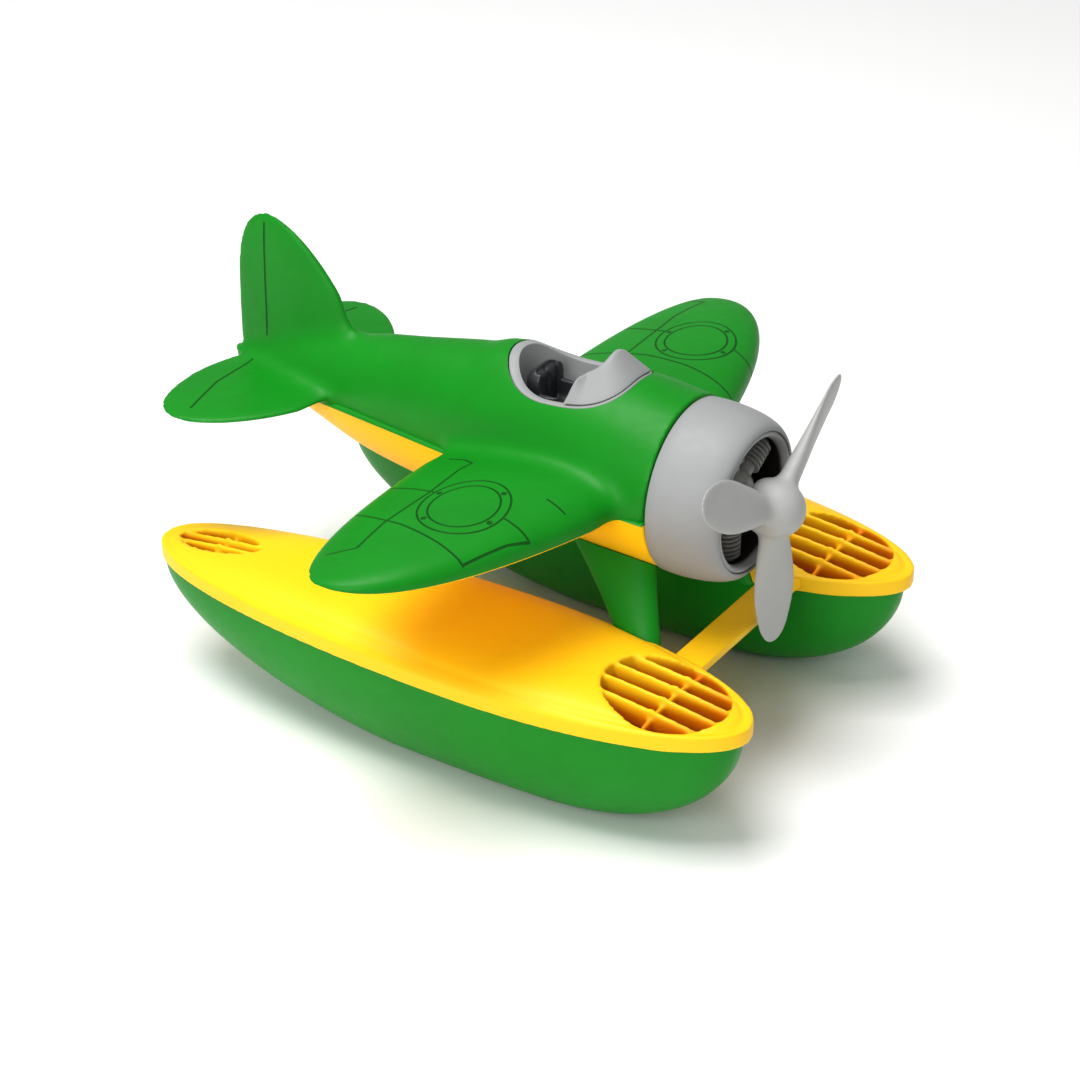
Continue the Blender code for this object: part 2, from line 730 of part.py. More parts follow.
def pit_outline(inset, count=30):
    """Cockpit opening: round behind, running to a point in front."""
    points = []
    for i in range(count):
        angle = math.tau * i / count
        along = math.cos(angle)
        if along >= 0:
            x = PIT_WIDEST + (PIT_FRONT - PIT_WIDEST - PIT_INSET[0] * inset) * along
            half = (PIT_HALF_WIDTH - inset) * superellipse(along, *PIT_AHEAD)
        else:
            x = PIT_WIDEST + (PIT_WIDEST - PIT_REAR - PIT_INSET[1] * inset) * along
            half = (PIT_HALF_WIDTH - inset) * superellipse(along, *PIT_BEHIND)
        points.append((x, math.copysign(half, math.sin(angle))))
    return points


def cockpit_tub():
    """Grey liner of the cockpit, with a level lip that starts at the surface of the body."""
    outer, inner = pit_outline(GAP), pit_outline(GAP + TUB_WALL)
    lips = [surface_height(x, y) for x, y in outer]
    rings = [
        [Vector((x, y, TUB_BASE)) for x, y in outer],
        [Vector((x, y, lip)) for (x, y), lip in zip(outer, lips)],
        [Vector((x, y, lip)) for (x, y), lip in zip(inner, lips)],
        [Vector((x, y, PIT_FLOOR)) for x, y in inner],
    ]
    return loft("cockpit_tub", rings, PARTS, GREY)


def seat():
    """Dark bucket seat with a creased back."""
    depth, width, height = SEAT_SIZE
    low = Vector((SEAT_X - depth / 2, -width / 2, PIT_FLOOR + GAP))
    made = box("seat", low, low + Vector((depth, width, height)), PARTS, DARK)
    bm = bmesh.new()
    bm.from_mesh(made.data)
    bmesh.ops.bevel(
        bm,
        geom=[e for e in bm.edges if max(v.co.z for v in e.verts) > low.z + 0.5 * SEAT_ROUND],
        offset=SEAT_ROUND,
        segments=3,
        profile=0.5,
        affect="EDGES",
        material=-1,
    )
    bm.to_mesh(made.data)
    bm.free()
    recess = box(
        "seat_recess",
        (SEAT_X - depth / 2 + SEAT_BACK, -width / 2 + SEAT_SIDE, PIT_FLOOR + CUSHION),
        (SEAT_X + depth, width / 2 - SEAT_SIDE, PIT_FLOOR + 2 * height),
        GUIDES,
    )
    combine(made, recess, "DIFFERENCE")
    return made


def screen_path():
    """Points round the front of the opening, from starboard to port."""
    points = [p for p in pit_outline(SCREEN_INSET, 56) if p[0] > SCREEN_REAR]
    points.sort(key=lambda p: math.atan2(p[1], p[0] - PIT_REAR))
    return points


def windscreen():
    """Grey screen wrapped round the front of the cockpit, leaning in to a ridge."""
    rings = []
    for x, y in screen_path():
        ahead = x - SCREEN_REAR
        height = SCREEN_RISE * math.sin(0.5 * math.pi * min(0.15 + ahead / SCREEN_RUN[0], 1.0))
        lean = SCREEN_LEAN * min(0.3 + 0.7 * ahead / SCREEN_RUN[1], 1.0)
        inward = Vector((SCREEN_PIVOT - x, -y, 0))
        wall = inward.normalized() * SCREEN_WALL
        foot = Vector((x, y, surface_height(x, y) + GAP))
        inner = foot + wall
        top = foot + inward * lean + Vector((0, 0, height))
        rings.append([foot, top, top + wall, inner])
    return loft("windscreen", rings, PARTS, GREY)


def surface_height(x, y):
    """Height of the body's upper surface over a point."""
    half, bottom, top = smooth_row(FUSELAGE, x)
    waist = 0.5 * (bottom + top) + 0.1 * (AXIS_HEIGHT - 0.5 * (bottom + top))
    return waist + (top - waist) * superellipse(y / half, BODY_ROUND, BODY_ROUND)


def cowl():
    """Grey barrel that narrows to a rounded lip, open at both ends."""
    outside = []
    inside = []
    lip_radius = COWL_MOUTH + COWL_LIP
    steps = 7
    for k in range(steps + 1):
        angle = 0.5 * math.pi * k / steps
        x = COWL_SHOULDER + (COWL_FRONT - COWL_SHOULDER) * math.sin(angle)
        radius = lip_radius + (COWL_BELLY - lip_radius) * math.cos(angle) ** 0.9
        outside.append((x, radius))
        if radius - COWL_WALL > lip_radius:
            inside.insert(0, (x - 0.4 * COWL_WALL, radius - COWL_WALL))
    round_lip = [(COWL_FRONT - along, COWL_MOUTH + up) for along, up in COWL_EDGE]
    back = [(COWL_REAR, COWL_BACK - COWL_WALL), (COWL_REAR, COWL_BACK)]
    return turned("cowl", back + outside + round_lip + inside, 36, PARTS, GREY)


def cylinder_profile():
    """Finned barrel as (height, radius) points."""
    start, end = BARREL_ROOT, ENGINE_REACH
    points = [(start, 0.0), (start, BARREL)]
    pitch = (end - FIN_MARGIN - FIRST_FIN) / FINS
    for k in range(FINS):
        at = FIRST_FIN + pitch * (k + 0.3)
        points += [
            (at, BARREL),
            (at, FIN_RING),
            (at + FIN_SHARE * pitch, FIN_RING),
            (at + FIN_SHARE * pitch, BARREL),
        ]
    points += [(end - BARREL_CAP, BARREL), (end, BARREL - BARREL_BEVEL), (end, 0.0)]
    return points


def radial_engine():
    """Crankcase on the front of the body with finned cylinders round it."""
    foot, flange = CRANKCASE_FLANGE
    dome, edge, shoulder, face = CRANKCASE_DOME
    profile = [
        (COWL_REAR, 0.0),
        (COWL_REAR, CRANKCASE + flange),
        (COWL_REAR + foot, CRANKCASE + 0.5 * flange),
        (CRANKCASE_FRONT - dome, CRANKCASE),
        (CRANKCASE_FRONT - edge, CRANKCASE - shoulder),
        (CRANKCASE_FRONT, CRANKCASE - face),
        (CRANKCASE_FRONT, 0.0),
    ]
    engine = turned("radial_engine", profile, 21, PARTS, GREY)
    for k in range(CYLINDERS):
        angle = FIRST_CYLINDER + math.tau * k / CYLINDERS
        bm = bmesh.new()
        verts = [bm.verts.new((radius, 0.0, height)) for height, radius in cylinder_profile()]
        for a, b in zip(verts, verts[1:]):
            bm.edges.new((a, b))
        bmesh.ops.spin(
            bm, geom=bm.verts[:] + bm.edges[:], cent=(0, 0, 0), axis=(0, 0, 1), angle=math.tau, steps=10
        )
        bmesh.ops.remove_doubles(bm, verts=bm.verts, dist=0.00001)
        turn = Matrix.Rotation(angle - 0.5 * math.pi, 4, "X")
        place = Matrix.Translation((CYLINDER_X, 0, AXIS_HEIGHT)) @ turn
        bmesh.ops.transform(bm, matrix=place, verts=bm.verts)
        barrel = object_from(bm, "barrel_%d" % k, GUIDES)
        combine(engine, barrel, "UNION")
    return engine


def axle():
    """Pin on the crankcase that carries the propeller."""
    profile = [
        (CRANKCASE_FRONT + GAP, 0.0),
        (CRANKCASE_FRONT + GAP, AXLE),
        (HUB_REAR + BORE_DEPTH - AXLE_SHORT, AXLE),
        (HUB_REAR + BORE_DEPTH - AXLE_SHORT, 0.0),
    ]
    return turned("propeller_axle", profile, 20, PARTS, GREY)


def blade_rings():
    """Sections of the blade that points along +Y, before it is turned to its place."""
    rings = []
    steps = 10
    for k in range(steps + 1):
        t = math.sin(0.5 * math.pi * k / steps) * (0.998 if k == steps else 1.0)
        radius = BLADE_ROOT + (BLADE_REACH - BLADE_ROOT) * t
        root, gain, widest = BLADE_SWELL
        swell = root + gain * math.sin(0.5 * math.pi * min(t / widest, 1.0)) ** 2
        chord = BLADE_CHORD * swell * superellipse(t, 5.0, 2.0)
        thick = blend(BLADE_THICK, min(t * 1.3, 1.0)) * superellipse(t, 9.0, 2.0)
        pitch = blend(BLADE_PITCH, min(t * 1.2, 1.0))
        along = Vector((math.sin(pitch), 0, math.cos(pitch)))
        through = Vector((math.cos(pitch), 0, -math.sin(pitch)))
        ring = []
        for i in range(12):
            angle = math.tau * i / 12
            offset = along * (0.5 * chord * math.cos(angle)) + through * (0.5 * thick * math.sin(angle))
            ring.append(Vector((0, radius, 0)) + offset)
        rings.append(ring)
    return rings


def propeller():
    """Three broad blades on a round hub, with a blind bore for the axle."""
    profile = [(HUB_REAR, 0.0)] + [(HUB_REAR + along, HUB_RADIUS - inwards) for along, inwards in HUB_EDGE]
    shoulder = BLADE_PLANE + HUB_SHOULDER
    for k in range(8):
        angle = 0.5 * math.pi * k / 8
        x = shoulder + (HUB_FRONT - shoulder) * math.sin(angle)
        profile.append((x, HUB_RADIUS * math.cos(angle)))
    profile.append((HUB_FRONT, 0.0))
    made = turned("propeller", profile, 30, PARTS, GREY)
    for k in range(BLADES):
        angle = FIRST_BLADE + math.tau * k / BLADES
        place = Matrix.Translation((BLADE_PLANE, 0, AXIS_HEIGHT)) @ Matrix.Rotation(angle, 4, "X")
        rings = [[place @ p for p in ring] for ring in blade_rings()]
        combine(made, loft("blade_%d" % k, rings, GUIDES), "UNION")
    bore = turned(
        "bore",
        [
            (HUB_REAR - PAST, 0.0),
            (HUB_REAR - PAST, AXLE + GAP),
            (HUB_REAR + BORE_DEPTH, AXLE + GAP),
            (HUB_REAR + BORE_DEPTH, 0.0),
        ],
        20,
        GUIDES,
    )
    combine(made, bore, "DIFFERENCE")
    return made


def hang_on(pieces, name, place):
    """Empty that carries pieces, set on their place or axis."""
    carrier = bpy.data.objects.new(name, None)
    carrier.location = place
    PARTS.objects.link(carrier)
    bpy.context.view_layer.update()
    for piece in pieces:
        piece.parent = carrier
        piece.matrix_parent_inverse = Matrix.Translation(-Vector(place))
    return carrier


clear_scene()
PARTS = new_collection("toy_floatplane")
GUIDES = new_collection("guides")
GREEN = new_material("green_plastic", (0.03, 0.32, 0.05), 0.38)
YELLOW = new_material("yellow_plastic", (0.93, 0.62, 0.01), 0.38)
GREY = new_material("grey_plastic", (0.42, 0.42, 0.42), 0.42)
DARK = new_material("dark_plastic", (0.06, 0.06, 0.065), 0.5)

for side_sign, side_name in ((1, "left"), (-1, "right")):
    float_side(side_sign, side_name)
crossbar("crossbar_front", *FRONT_BAR)
crossbar("crossbar_rear", *REAR_BAR)
upper_shell()
lower_shell()
cockpit_tub()
seat()
windscreen()
cowl()
radial_engine()
axle()
turning = propeller()
airframe = [item for item in PARTS.objects if item is not turning]
hang_on(airframe, "airframe", (0, 0, 0))
hang_on([turning], "propeller_axis", (BLADE_PLANE, 0, AXIS_HEIGHT))
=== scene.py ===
"""Looks of a toy floatplane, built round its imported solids.

The nose points along +X, port is +Y and the floor is Z = 0. Every class below is
one sub-assembly. It holds its sizes, builds its meshes and gives them a finish.
"""

import logging
import math
from dataclasses import dataclass, field
from enum import Enum
from functools import reduce
from typing import Callable, Iterator, Sequence

import bmesh
import bpy
from mathutils import Matrix, Vector
from mathutils.bvhtree import BVHTree

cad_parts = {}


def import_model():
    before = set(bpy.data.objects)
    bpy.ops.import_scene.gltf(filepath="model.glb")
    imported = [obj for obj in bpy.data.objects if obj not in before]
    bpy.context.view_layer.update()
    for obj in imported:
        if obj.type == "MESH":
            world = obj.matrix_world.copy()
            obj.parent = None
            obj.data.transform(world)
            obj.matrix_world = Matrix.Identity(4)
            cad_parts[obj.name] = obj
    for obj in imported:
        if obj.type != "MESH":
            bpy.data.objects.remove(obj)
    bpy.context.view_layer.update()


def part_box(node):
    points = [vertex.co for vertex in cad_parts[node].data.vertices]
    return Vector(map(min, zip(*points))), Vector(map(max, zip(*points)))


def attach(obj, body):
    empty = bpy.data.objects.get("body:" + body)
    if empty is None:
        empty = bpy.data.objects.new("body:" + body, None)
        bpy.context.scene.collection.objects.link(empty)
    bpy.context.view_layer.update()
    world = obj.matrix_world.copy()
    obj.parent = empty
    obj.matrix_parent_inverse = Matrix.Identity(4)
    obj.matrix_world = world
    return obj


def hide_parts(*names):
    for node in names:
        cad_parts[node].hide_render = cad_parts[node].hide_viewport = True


MM = 0.001
MERGE = 1e-6
SNAP = 1.5 * MM  # farthest that a fused vertex is set on its form
SETTLING = 2  # closing rounds of smoothing
SEARCHES = 20  # halvings that find a ring of the lid
CORNER = math.radians(48)  # edges that turn by more are sharp
LOG = logging.getLogger("floatplane")
Place = Callable[[float, float], Vector]
Reach = Callable[[Vector], float]
Outline = Callable[[float], tuple[float, float]]
Form = bmesh.types.BMesh


class Side(Enum):
    """Side of the toy, as the sign of Y."""

    LEFT = 1
    RIGHT = -1

    @property
    def suffix(self) -> str:
        """Word that ends the names of the pieces on this side."""
        return self.name.lower()


class Cut(Enum):
    """What a second solid does to the first."""

    REMOVE = "DIFFERENCE"
    KEEP = "INTERSECT"
    JOIN = "UNION"


class Body(Enum):
    """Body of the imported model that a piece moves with."""

    AIRFRAME = "airframe"
    PROPELLER = "propeller"


# Numbers and curves


def arc(t: float, power: float, root: float) -> float:
    """Height of a unit curve that falls from 1 at t = 0 to 0 at t = 1."""
    return max(0.0, 1.0 - abs(t) ** power) ** (1.0 / root)


def between(pair: Sequence[float], t: float) -> float:
    """Value between the two numbers of a pair."""
    return pair[0] + (pair[1] - pair[0]) * t


def halves(high: float, low: float) -> tuple[float, float]:
    """Middle of a range, and half its length."""
    return 0.5 * (high + low), 0.5 * (high - low)


def ease(t: float) -> float:
    """Smooth step from 0 to 1 over the unit range."""
    t = min(max(t, 0.0), 1.0)
    return t * t * (3.0 - 2.0 * t)


def signed(value: float, power: float) -> float:
    """Power of a number that keeps its sign."""
    return math.copysign(abs(value) ** power, value)


def leaf(u: float, lead: float, trail: float) -> tuple[float, float, float]:
    """Point round a thin section with soft edges.

    Args:
        u: Turn round the section, from 0 to 1.
        lead: Station of the leading edge.
        trail: Station of the trailing edge.

    Returns:
        Station of the point, its share along the section and its share of the thickness.
    """
    middle, half = halves(lead, trail)
    along = math.cos(math.tau * u)
    return middle + half * along, along, signed(math.sin(math.tau * u), 0.8)


def smooth_row(rows: Sequence[Sequence[float]], x: float) -> list[float]:
    """Row of values on a smooth curve through the given rows.

    Args:
        rows: Rows that start with their station, in rising order.
        x: Station that is asked for.

    Returns:
        The other values of the row at x.
    """
    x = min(max(x, rows[0][0]), rows[-1][0])
    i = next(k for k in range(len(rows) - 1) if x <= rows[k + 1][0])
    before, low = rows[max(i - 1, 0)], rows[i]
    high, after = rows[i + 1], rows[min(i + 2, len(rows) - 1)]
    width = high[0] - low[0]
    t = (x - low[0]) / width
    values = []
    for k in range(1, len(low)):
        slope_low = (high[k] - before[k]) / (high[0] - before[0]) * width
        slope_high = (after[k] - low[k]) / (after[0] - low[0]) * width
        rise = high[k] - low[k]
        curve = 3 * rise - 2 * slope_low - slope_high
        twist = slope_low + slope_high - 2 * rise
        values.append(low[k] + t * (slope_low + t * (curve + t * twist)))
    return values


# Forms, worked with bmesh operators


def wrapped(around: int, along: int, place: Place, capped: bool = True) -> Form:
    """Skin bent from a flat grid.

    Args:
        around: Faces round the form.
        along: Faces from end to end.
        place: Point for u round the form and v from end to end, both from 0 to 1.
        capped: Whether open ends are closed with a face.

    Returns:
        The form, with its seam and poles closed.
    """
    form = bmesh.new()
    bmesh.ops.create_grid(form, x_segments=around, y_segments=along, size=0.5)
    for vert in form.verts:
        vert.co = place(vert.co.x + 0.5, vert.co.y + 0.5)
    bmesh.ops.remove_doubles(form, verts=form.verts, dist=MERGE)
    bmesh.ops.dissolve_degenerate(form, edges=form.edges, dist=MERGE)
    if capped:
        bmesh.ops.holes_fill(form, edges=[e for e in form.edges if e.is_boundary], sides=0)
    bmesh.ops.recalc_face_normals(form, faces=form.faces)
    return form


def turned(profile: Sequence[tuple[float, float]], steps: int, height: float) -> Form:
    """Solid of revolution about a line along X.

    Args:
        profile: (x, radius) points of a closed outline, which may touch the line.
        steps: Steps of the full turn.
        height: Height of the line above the floor.

    Returns:
        The closed form.
    """
    form = bmesh.new()
    verts = [form.verts.new((x, 0.0, radius)) for x, radius in profile]
    for a, b in zip(verts, verts[1:] + verts[:1]):
        if a.co.z > 0 or b.co.z > 0:
            form.edges.new((a, b))
    whole = form.verts[:] + form.edges[:]
    bmesh.ops.spin(form, geom=whole, axis=(1, 0, 0), angle=math.tau, steps=steps, use_merge=True)
    bmesh.ops.remove_doubles(form, verts=form.verts, dist=MERGE)
    bmesh.ops.translate(form, verts=form.verts, vec=(0, 0, height))
    bmesh.ops.recalc_face_normals(form, faces=form.faces)
    return form


def block(
    low: Sequence[float], high: Sequence[float], rounding: float = 0.0, segments: int = 3
) -> Form:
    """Box between two corners, its edges rounded."""
    form = bmesh.new()
    bmesh.ops.create_cube(form, size=1.0)
    for vert in form.verts:
        for k in range(3):
            vert.co[k] = low[k] if vert.co[k] < 0 else high[k]
    if rounding:
        shape = {"segments": segments, "profile": 0.5, "affect": "EDGES", "material": -1}
        bmesh.ops.bevel(form, geom=form.edges[:], offset=rounding, **shape)
    return form


def upright(outline: Outline, count: int, low: float, high: float) -> Form:
    """Plan outline carried straight up from one height to another."""

    def place(u: float, v: float) -> Vector:
        x, y = outline(u)
        return Vector((x, y, low + (high - low) * v))

    return wrapped(count, 1, place)


def turn_out(form: Form, towards: Vector) -> Form:
    """Turns an open sheet so that its faces look the given way on the whole."""
    lean = sum(face.normal.dot(towards) * face.calc_area() for face in form.faces)
    if lean < 0:
        bmesh.ops.reverse_faces(form, faces=form.faces)
    return form


def made(name: str, *forms: Form) -> bpy.types.Object:
    """Object at the origin that holds the given forms together."""
    whole = bmesh.new()
    for form in forms:
        part = bpy.data.meshes.new("part")
        form.to_mesh(part)
        form.free()
        whole.from_mesh(part)
        bpy.data.meshes.remove(part)
    mesh = bpy.data.meshes.new(name)
    whole.to_mesh(mesh)
    whole.free()
    item = bpy.data.objects.new(name, mesh)
    bpy.context.scene.collection.objects.link(item)
    return item


def taken(item: bpy.types.Object) -> Form:
    """Form of an object, which is removed."""
    form = bmesh.new()
    form.from_mesh(item.data)
    bpy.data.objects.remove(item, do_unlink=True)
    return form


def settle(item: bpy.types.Object) -> bpy.types.Object:
    """Works out an object's modifiers into its mesh."""
    graph = bpy.context.evaluated_depsgraph_get()
    mesh = bpy.data.meshes.new_from_object(item.evaluated_get(graph))
    item.modifiers.clear()
    old = item.data
    item.data = mesh
    bpy.data.meshes.remove(old)
    mesh.name = item.name
    return item


def worked(item: bpy.types.Object, kind: str, **settings: object) -> bpy.types.Object:
    """Adds one modifier with its settings and works it out at once."""
    modifier = item.modifiers.new(kind.lower(), kind)
    for key, value in settings.items():
        setattr(modifier, key, value)
    return settle(item)


def cut(item: bpy.types.Object, form: Form, how: Cut) -> bpy.types.Object:
    """Cuts or keeps what a second closed form covers."""
    tool = made("tool", form)
    worked(item, "BOOLEAN", operation=how.value, object=tool, solver="EXACT")
    bpy.data.objects.remove(tool, do_unlink=True)
    return item


def fused(name: str, forms: Sequence[Form], voxel: float, passes: int) -> bpy.types.Object:
    """Runs overlapping closed forms into one skin with soft corners, as a mould does."""
    item = worked(made(name, *forms), "REMESH", mode="VOXEL", voxel_size=voxel, adaptivity=0.0)
    return worked(item, "SMOOTH", factor=0.5, iterations=passes)


def soft_seams(item: bpy.types.Object, trees: Sequence[BVHTree], reach: Reach, passes: int) -> None:
    """Sets a fused piece on the forms it was made from, and draws fillets where two of them meet.

    Args:
        item: Fused piece.
        trees: Search trees of the forms that it was fused from.
        reach: Gives the distance from the seam that the fillet takes in at a point.
        passes: How often the seam is smoothed.
    """
    seams = item.vertex_groups.new(name="seams")
    for vert in item.data.vertices:
        spots = sorted((tree.find_nearest(vert.co) for tree in trees), key=lambda spot: spot[3])
        if spots[0][3] < SNAP:
            vert.co = spots[0][0]
        weight = 1.0 - ease(spots[1][3] / reach(vert.co))
        if weight > 0.0:
            seams.add([vert.index], weight, "REPLACE")
    worked(item, "SMOOTH", factor=0.5, iterations=passes, vertex_group="seams")
    item.vertex_groups.clear()
    worked(item, "SMOOTH", factor=0.5, iterations=SETTLING)


# Finishes


def maths(operation: str, flipped: bool = False) -> Callable[["Wire", object], "Wire"]:
    """Method of Wire that adds one Math node.

    Args:
        operation: Operation of the node.
        flipped: Whether the wire is its second value.

    Returns:
        The method.
    """

    def method(wire: "Wire", other: object = 0.0) -> "Wire":
        """Result of the node."""
        first, second = (other, wire) if flipped else (wire, other)
        return wire.bench.wire("ShaderNodeMath", 0, {0: first, 1: second}, operation=operation)

    return method


class Wire:
    """Output of a shader node that takes part in Python sums."""

    def __init__(self, bench: "Bench", socket: bpy.types.NodeSocket) -> None:
        """Wraps a socket that belongs to the bench's tree."""
        self.bench = bench
        self.socket = socket

    __add__, __radd__ = maths("ADD"), maths("ADD", True)
    __sub__, __rsub__ = maths("SUBTRACT"), maths("SUBTRACT", True)
    __mul__, __rmul__ = maths("MULTIPLY"), maths("MULTIPLY", True)
    __truediv__, __abs__ = maths("DIVIDE"), maths("ABSOLUTE")
    least, most, over = maths("MINIMUM"), maths("MAXIMUM"), maths("GREATER_THAN")
    power, root = maths("POWER"), maths("SQRT")

    def fade(self, low: float, high: float) -> "Wire":
        """Smooth step: 0 below low, 1 above high. With low above high it runs down."""
        flip = low > high
        ends = {"Value": self, "From Min": min(low, high), "From Max": max(low, high)}
        result = self.bench.wire("ShaderNodeMapRange", 0, ends, interpolation_type="SMOOTHSTEP")
        return 1.0 - result if flip else result


class Bench:
    """Node tree of one material, with one way to add a node."""

    def __init__(self, material: bpy.types.Material) -> None:
        """Takes over the tree of a new material."""
        material.use_nodes = True
        self.tree = material.node_tree
        self.shader = self.tree.nodes["Principled BSDF"]

    def node(self, kind: str, sockets: dict, **settings: object) -> bpy.types.Node:
        """Adds a node.

        Args:
            kind: Type of the node.
            sockets: Values or wires by input name or number.
            **settings: Properties of the node, set before its sockets.

        Returns:
            The node.
        """
        node = self.tree.nodes.new(kind)
        for key, value in settings.items():
            setattr(node, key, value)
        for key, value in sockets.items():
            self.feed(node.inputs[key], value)
        return node

    def feed(self, target: bpy.types.NodeSocket, value: object) -> None:
        """Links a wire to a socket, or sets the socket's own value."""
        if isinstance(value, Wire):
            self.tree.links.new(value.socket, target)
        else:
            target.default_value = value

    def wire(self, kind: str, output: object, sockets: dict, **settings: object) -> Wire:
        """Adds a node and returns one of its outputs."""
        return Wire(self, self.node(kind, sockets, **settings).outputs[output])

    def place(self) -> Wire:
        """Point of the surface, in metres in the toy's own frame."""
        return self.wire("ShaderNodeTexCoord", "Object", {})

    def axes(self, point: Wire) -> tuple[Wire, Wire, Wire]:
        """The three numbers of a point."""
        node = self.node("ShaderNodeSeparateXYZ", {0: point})
        return tuple(Wire(self, output) for output in node.outputs)

    def flat(self, x: Wire, y: Wire) -> Wire:
        """Point at height 0."""
        return self.wire("ShaderNodeCombineXYZ", 0, {0: x, 1: y, 2: 0.0})

    def noise(self, point: Wire, scale: float, detail: float, seed: float = 0.0) -> Wire:
        """Cloudy pattern from 0 to 1, with the given number of clouds to the metre."""
        shifted = self.vector("ADD", point, (seed, seed * 0.7, seed * 1.3))
        return self.wire("ShaderNodeTexNoise", 0, {"Vector": shifted, "Scale": scale, "Detail": detail})

    def vector(self, operation: str, first: object, second: object, output: int = 0) -> Wire:
        """One Vector Math node."""
        return self.wire("ShaderNodeVectorMath", output, {0: first, 1: second}, operation=operation)

    def mix(self, factor: object, first: object, second: object) -> Wire:
        """Colour between two colours."""
        node = self.node("ShaderNodeMix", {0: factor}, data_type="RGBA")
        for target, value in ((node.inputs[6], first), (node.inputs[7], second)):
            self.feed(target, value if isinstance(value, Wire) else (*value, 1.0))
        return Wire(self, node.outputs[2])

    def to_line(self, flat: Wire, start: Sequence[float], end: Sequence[float]) -> Wire:
        """Distance in metres from a flat point to a straight line between two plan points in mm."""
        a, b = (Vector((x * MM, y * MM, 0.0)) for x, y in (start, end))
        d = b - a
        from_start = self.vector("SUBTRACT", flat, tuple(a))
        share = self.vector("DOT_PRODUCT", from_start, tuple(d / d.length_squared), 1)
        share = share.most(0.0).least(1.0)
        foot = self.wire("ShaderNodeVectorMath", 0, {0: tuple(d), "Scale": share}, operation="SCALE")
        return self.vector("DISTANCE", from_start, foot, 1)


Marks = Callable[[Bench, Wire], Wire]
Colour = tuple[float, float, float]


@dataclass(frozen=True)
class Plastic:
    """Satin plastic, moulded with a faint mottle and a fine grain; its slot name is kept but not read."""

    name: str
    slot: str
    colour: Colour
    deep: Colour
    roughness: float = 0.42
    grain: float = 0.35
    mottle: float = 0.5
    clouds: float = 38.0
    gloss: float = 0.24
    # Colour of the painted shade deep inside an opening.
    inside: Colour = (0.03, 0.028, 0.026)
    engraved: float = 0.5 * MM

    def make(self, marks: Marks | None, painted_shade: Marks | None) -> bpy.types.Material:
        """Material of this plastic.

        Args:
            marks: Gives 1 in an engraved line and 0 beside it; the line is cut by the bump and darkened
                with painted shade.
            painted_shade: Gives 1 deep inside an opening, where painted shade pulls the colour to the
                inside colour, and 0 outside.

        Returns:
            The material.
        """
        material = bpy.data.materials.new(self.name)
        bench = Bench(material)
        point = bench.place()
        broad = bench.noise(point, self.clouds, 3.0)
        fine = bench.noise(point, self.clouds * 7.0, 2.0, 1.7)
        grain = bench.noise(point, 2600.0, 2.0, 0.4)
        tone = (broad * 0.75 + fine * 0.25).fade(0.3, 0.72)
        colour = bench.mix(tone * self.mottle, self.colour, self.deep)
        rough = self.roughness + (fine - 0.5) * 0.16 + (grain - 0.5) * 0.08
        height = grain * self.grain * 0.02 + broad * 0.05
        # Painted shade: deep inside an opening the colour is pulled to the inside colour.
        if painted_shade:
            colour = bench.mix(painted_shade(bench, point), colour, self.inside)
        if marks:
            line = marks(bench, point)
            # Painted shade in the engraved lines: the colour is darkened towards the deep tone.
            colour = bench.mix(line * 0.7, colour, tuple(0.14 * c for c in self.deep))
            height = height - line
            rough = rough + line * 0.1
        relief = {"Strength": 1.0, "Distance": self.engraved, "Height": height}
        bump = bench.wire("ShaderNodeBump", 0, relief)
        finish = {"Base Color": colour, "Roughness": rough, "Normal": bump}
        finish["Specular IOR Level"] = self.gloss
        for socket, value in finish.items():
            bench.feed(bench.shader.inputs[socket], value)
        return material


GREEN = Plastic(
    "green_plastic", "green_plastic", (0.005, 0.245, 0.011), (0.003, 0.19, 0.006), gloss=0.22
)
# The yellow's inside colour is the deep orange painted shade in the wells of the grilles.
YELLOW = Plastic(
    "yellow_plastic", "yellow_plastic", (1, 0.61, 0.01), (0.98, 0.56, 0.006), inside=(0.78, 0.2, 0)
)
GREY = Plastic("grey_plastic", "grey_plastic", (0.325, 0.33, 0.332), (0.285, 0.29, 0.292), 0.46)
SILVER = Plastic("silver_plastic", "grey_plastic", (0.43, 0.435, 0.42), (0.385, 0.39, 0.38), 0.44)
DARK = Plastic(
    "dark_plastic", "dark_plastic", (0.03, 0.034, 0.036), (0.018, 0.021, 0.023), 0.4, gloss=0.5
)
STEEL = Plastic(
    "steel_plastic", "grey_plastic", (0.36, 0.36, 0.34), (0.28, 0.28, 0.26), 0.38, gloss=0.5
)


def dress(
    item: bpy.types.Object,
    finish: Plastic,
    node: str,
    body: Body = Body.AIRFRAME,
    marks: Marks | None = None,
    painted_shade: Marks | None = None,
) -> None:
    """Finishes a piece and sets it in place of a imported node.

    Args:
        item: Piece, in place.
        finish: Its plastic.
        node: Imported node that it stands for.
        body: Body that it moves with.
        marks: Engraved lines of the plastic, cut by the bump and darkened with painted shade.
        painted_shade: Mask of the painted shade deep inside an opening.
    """
    item.data.materials.clear()
    item.data.materials.append(finish.make(marks, painted_shade))
    item.data.shade_smooth()
    item.data.set_sharp_from_angle(angle=CORNER)
    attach(item, body.value)
    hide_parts(node)
    LOG.info("%s: %d faces for %s", item.name, len(item.data.polygons), node)


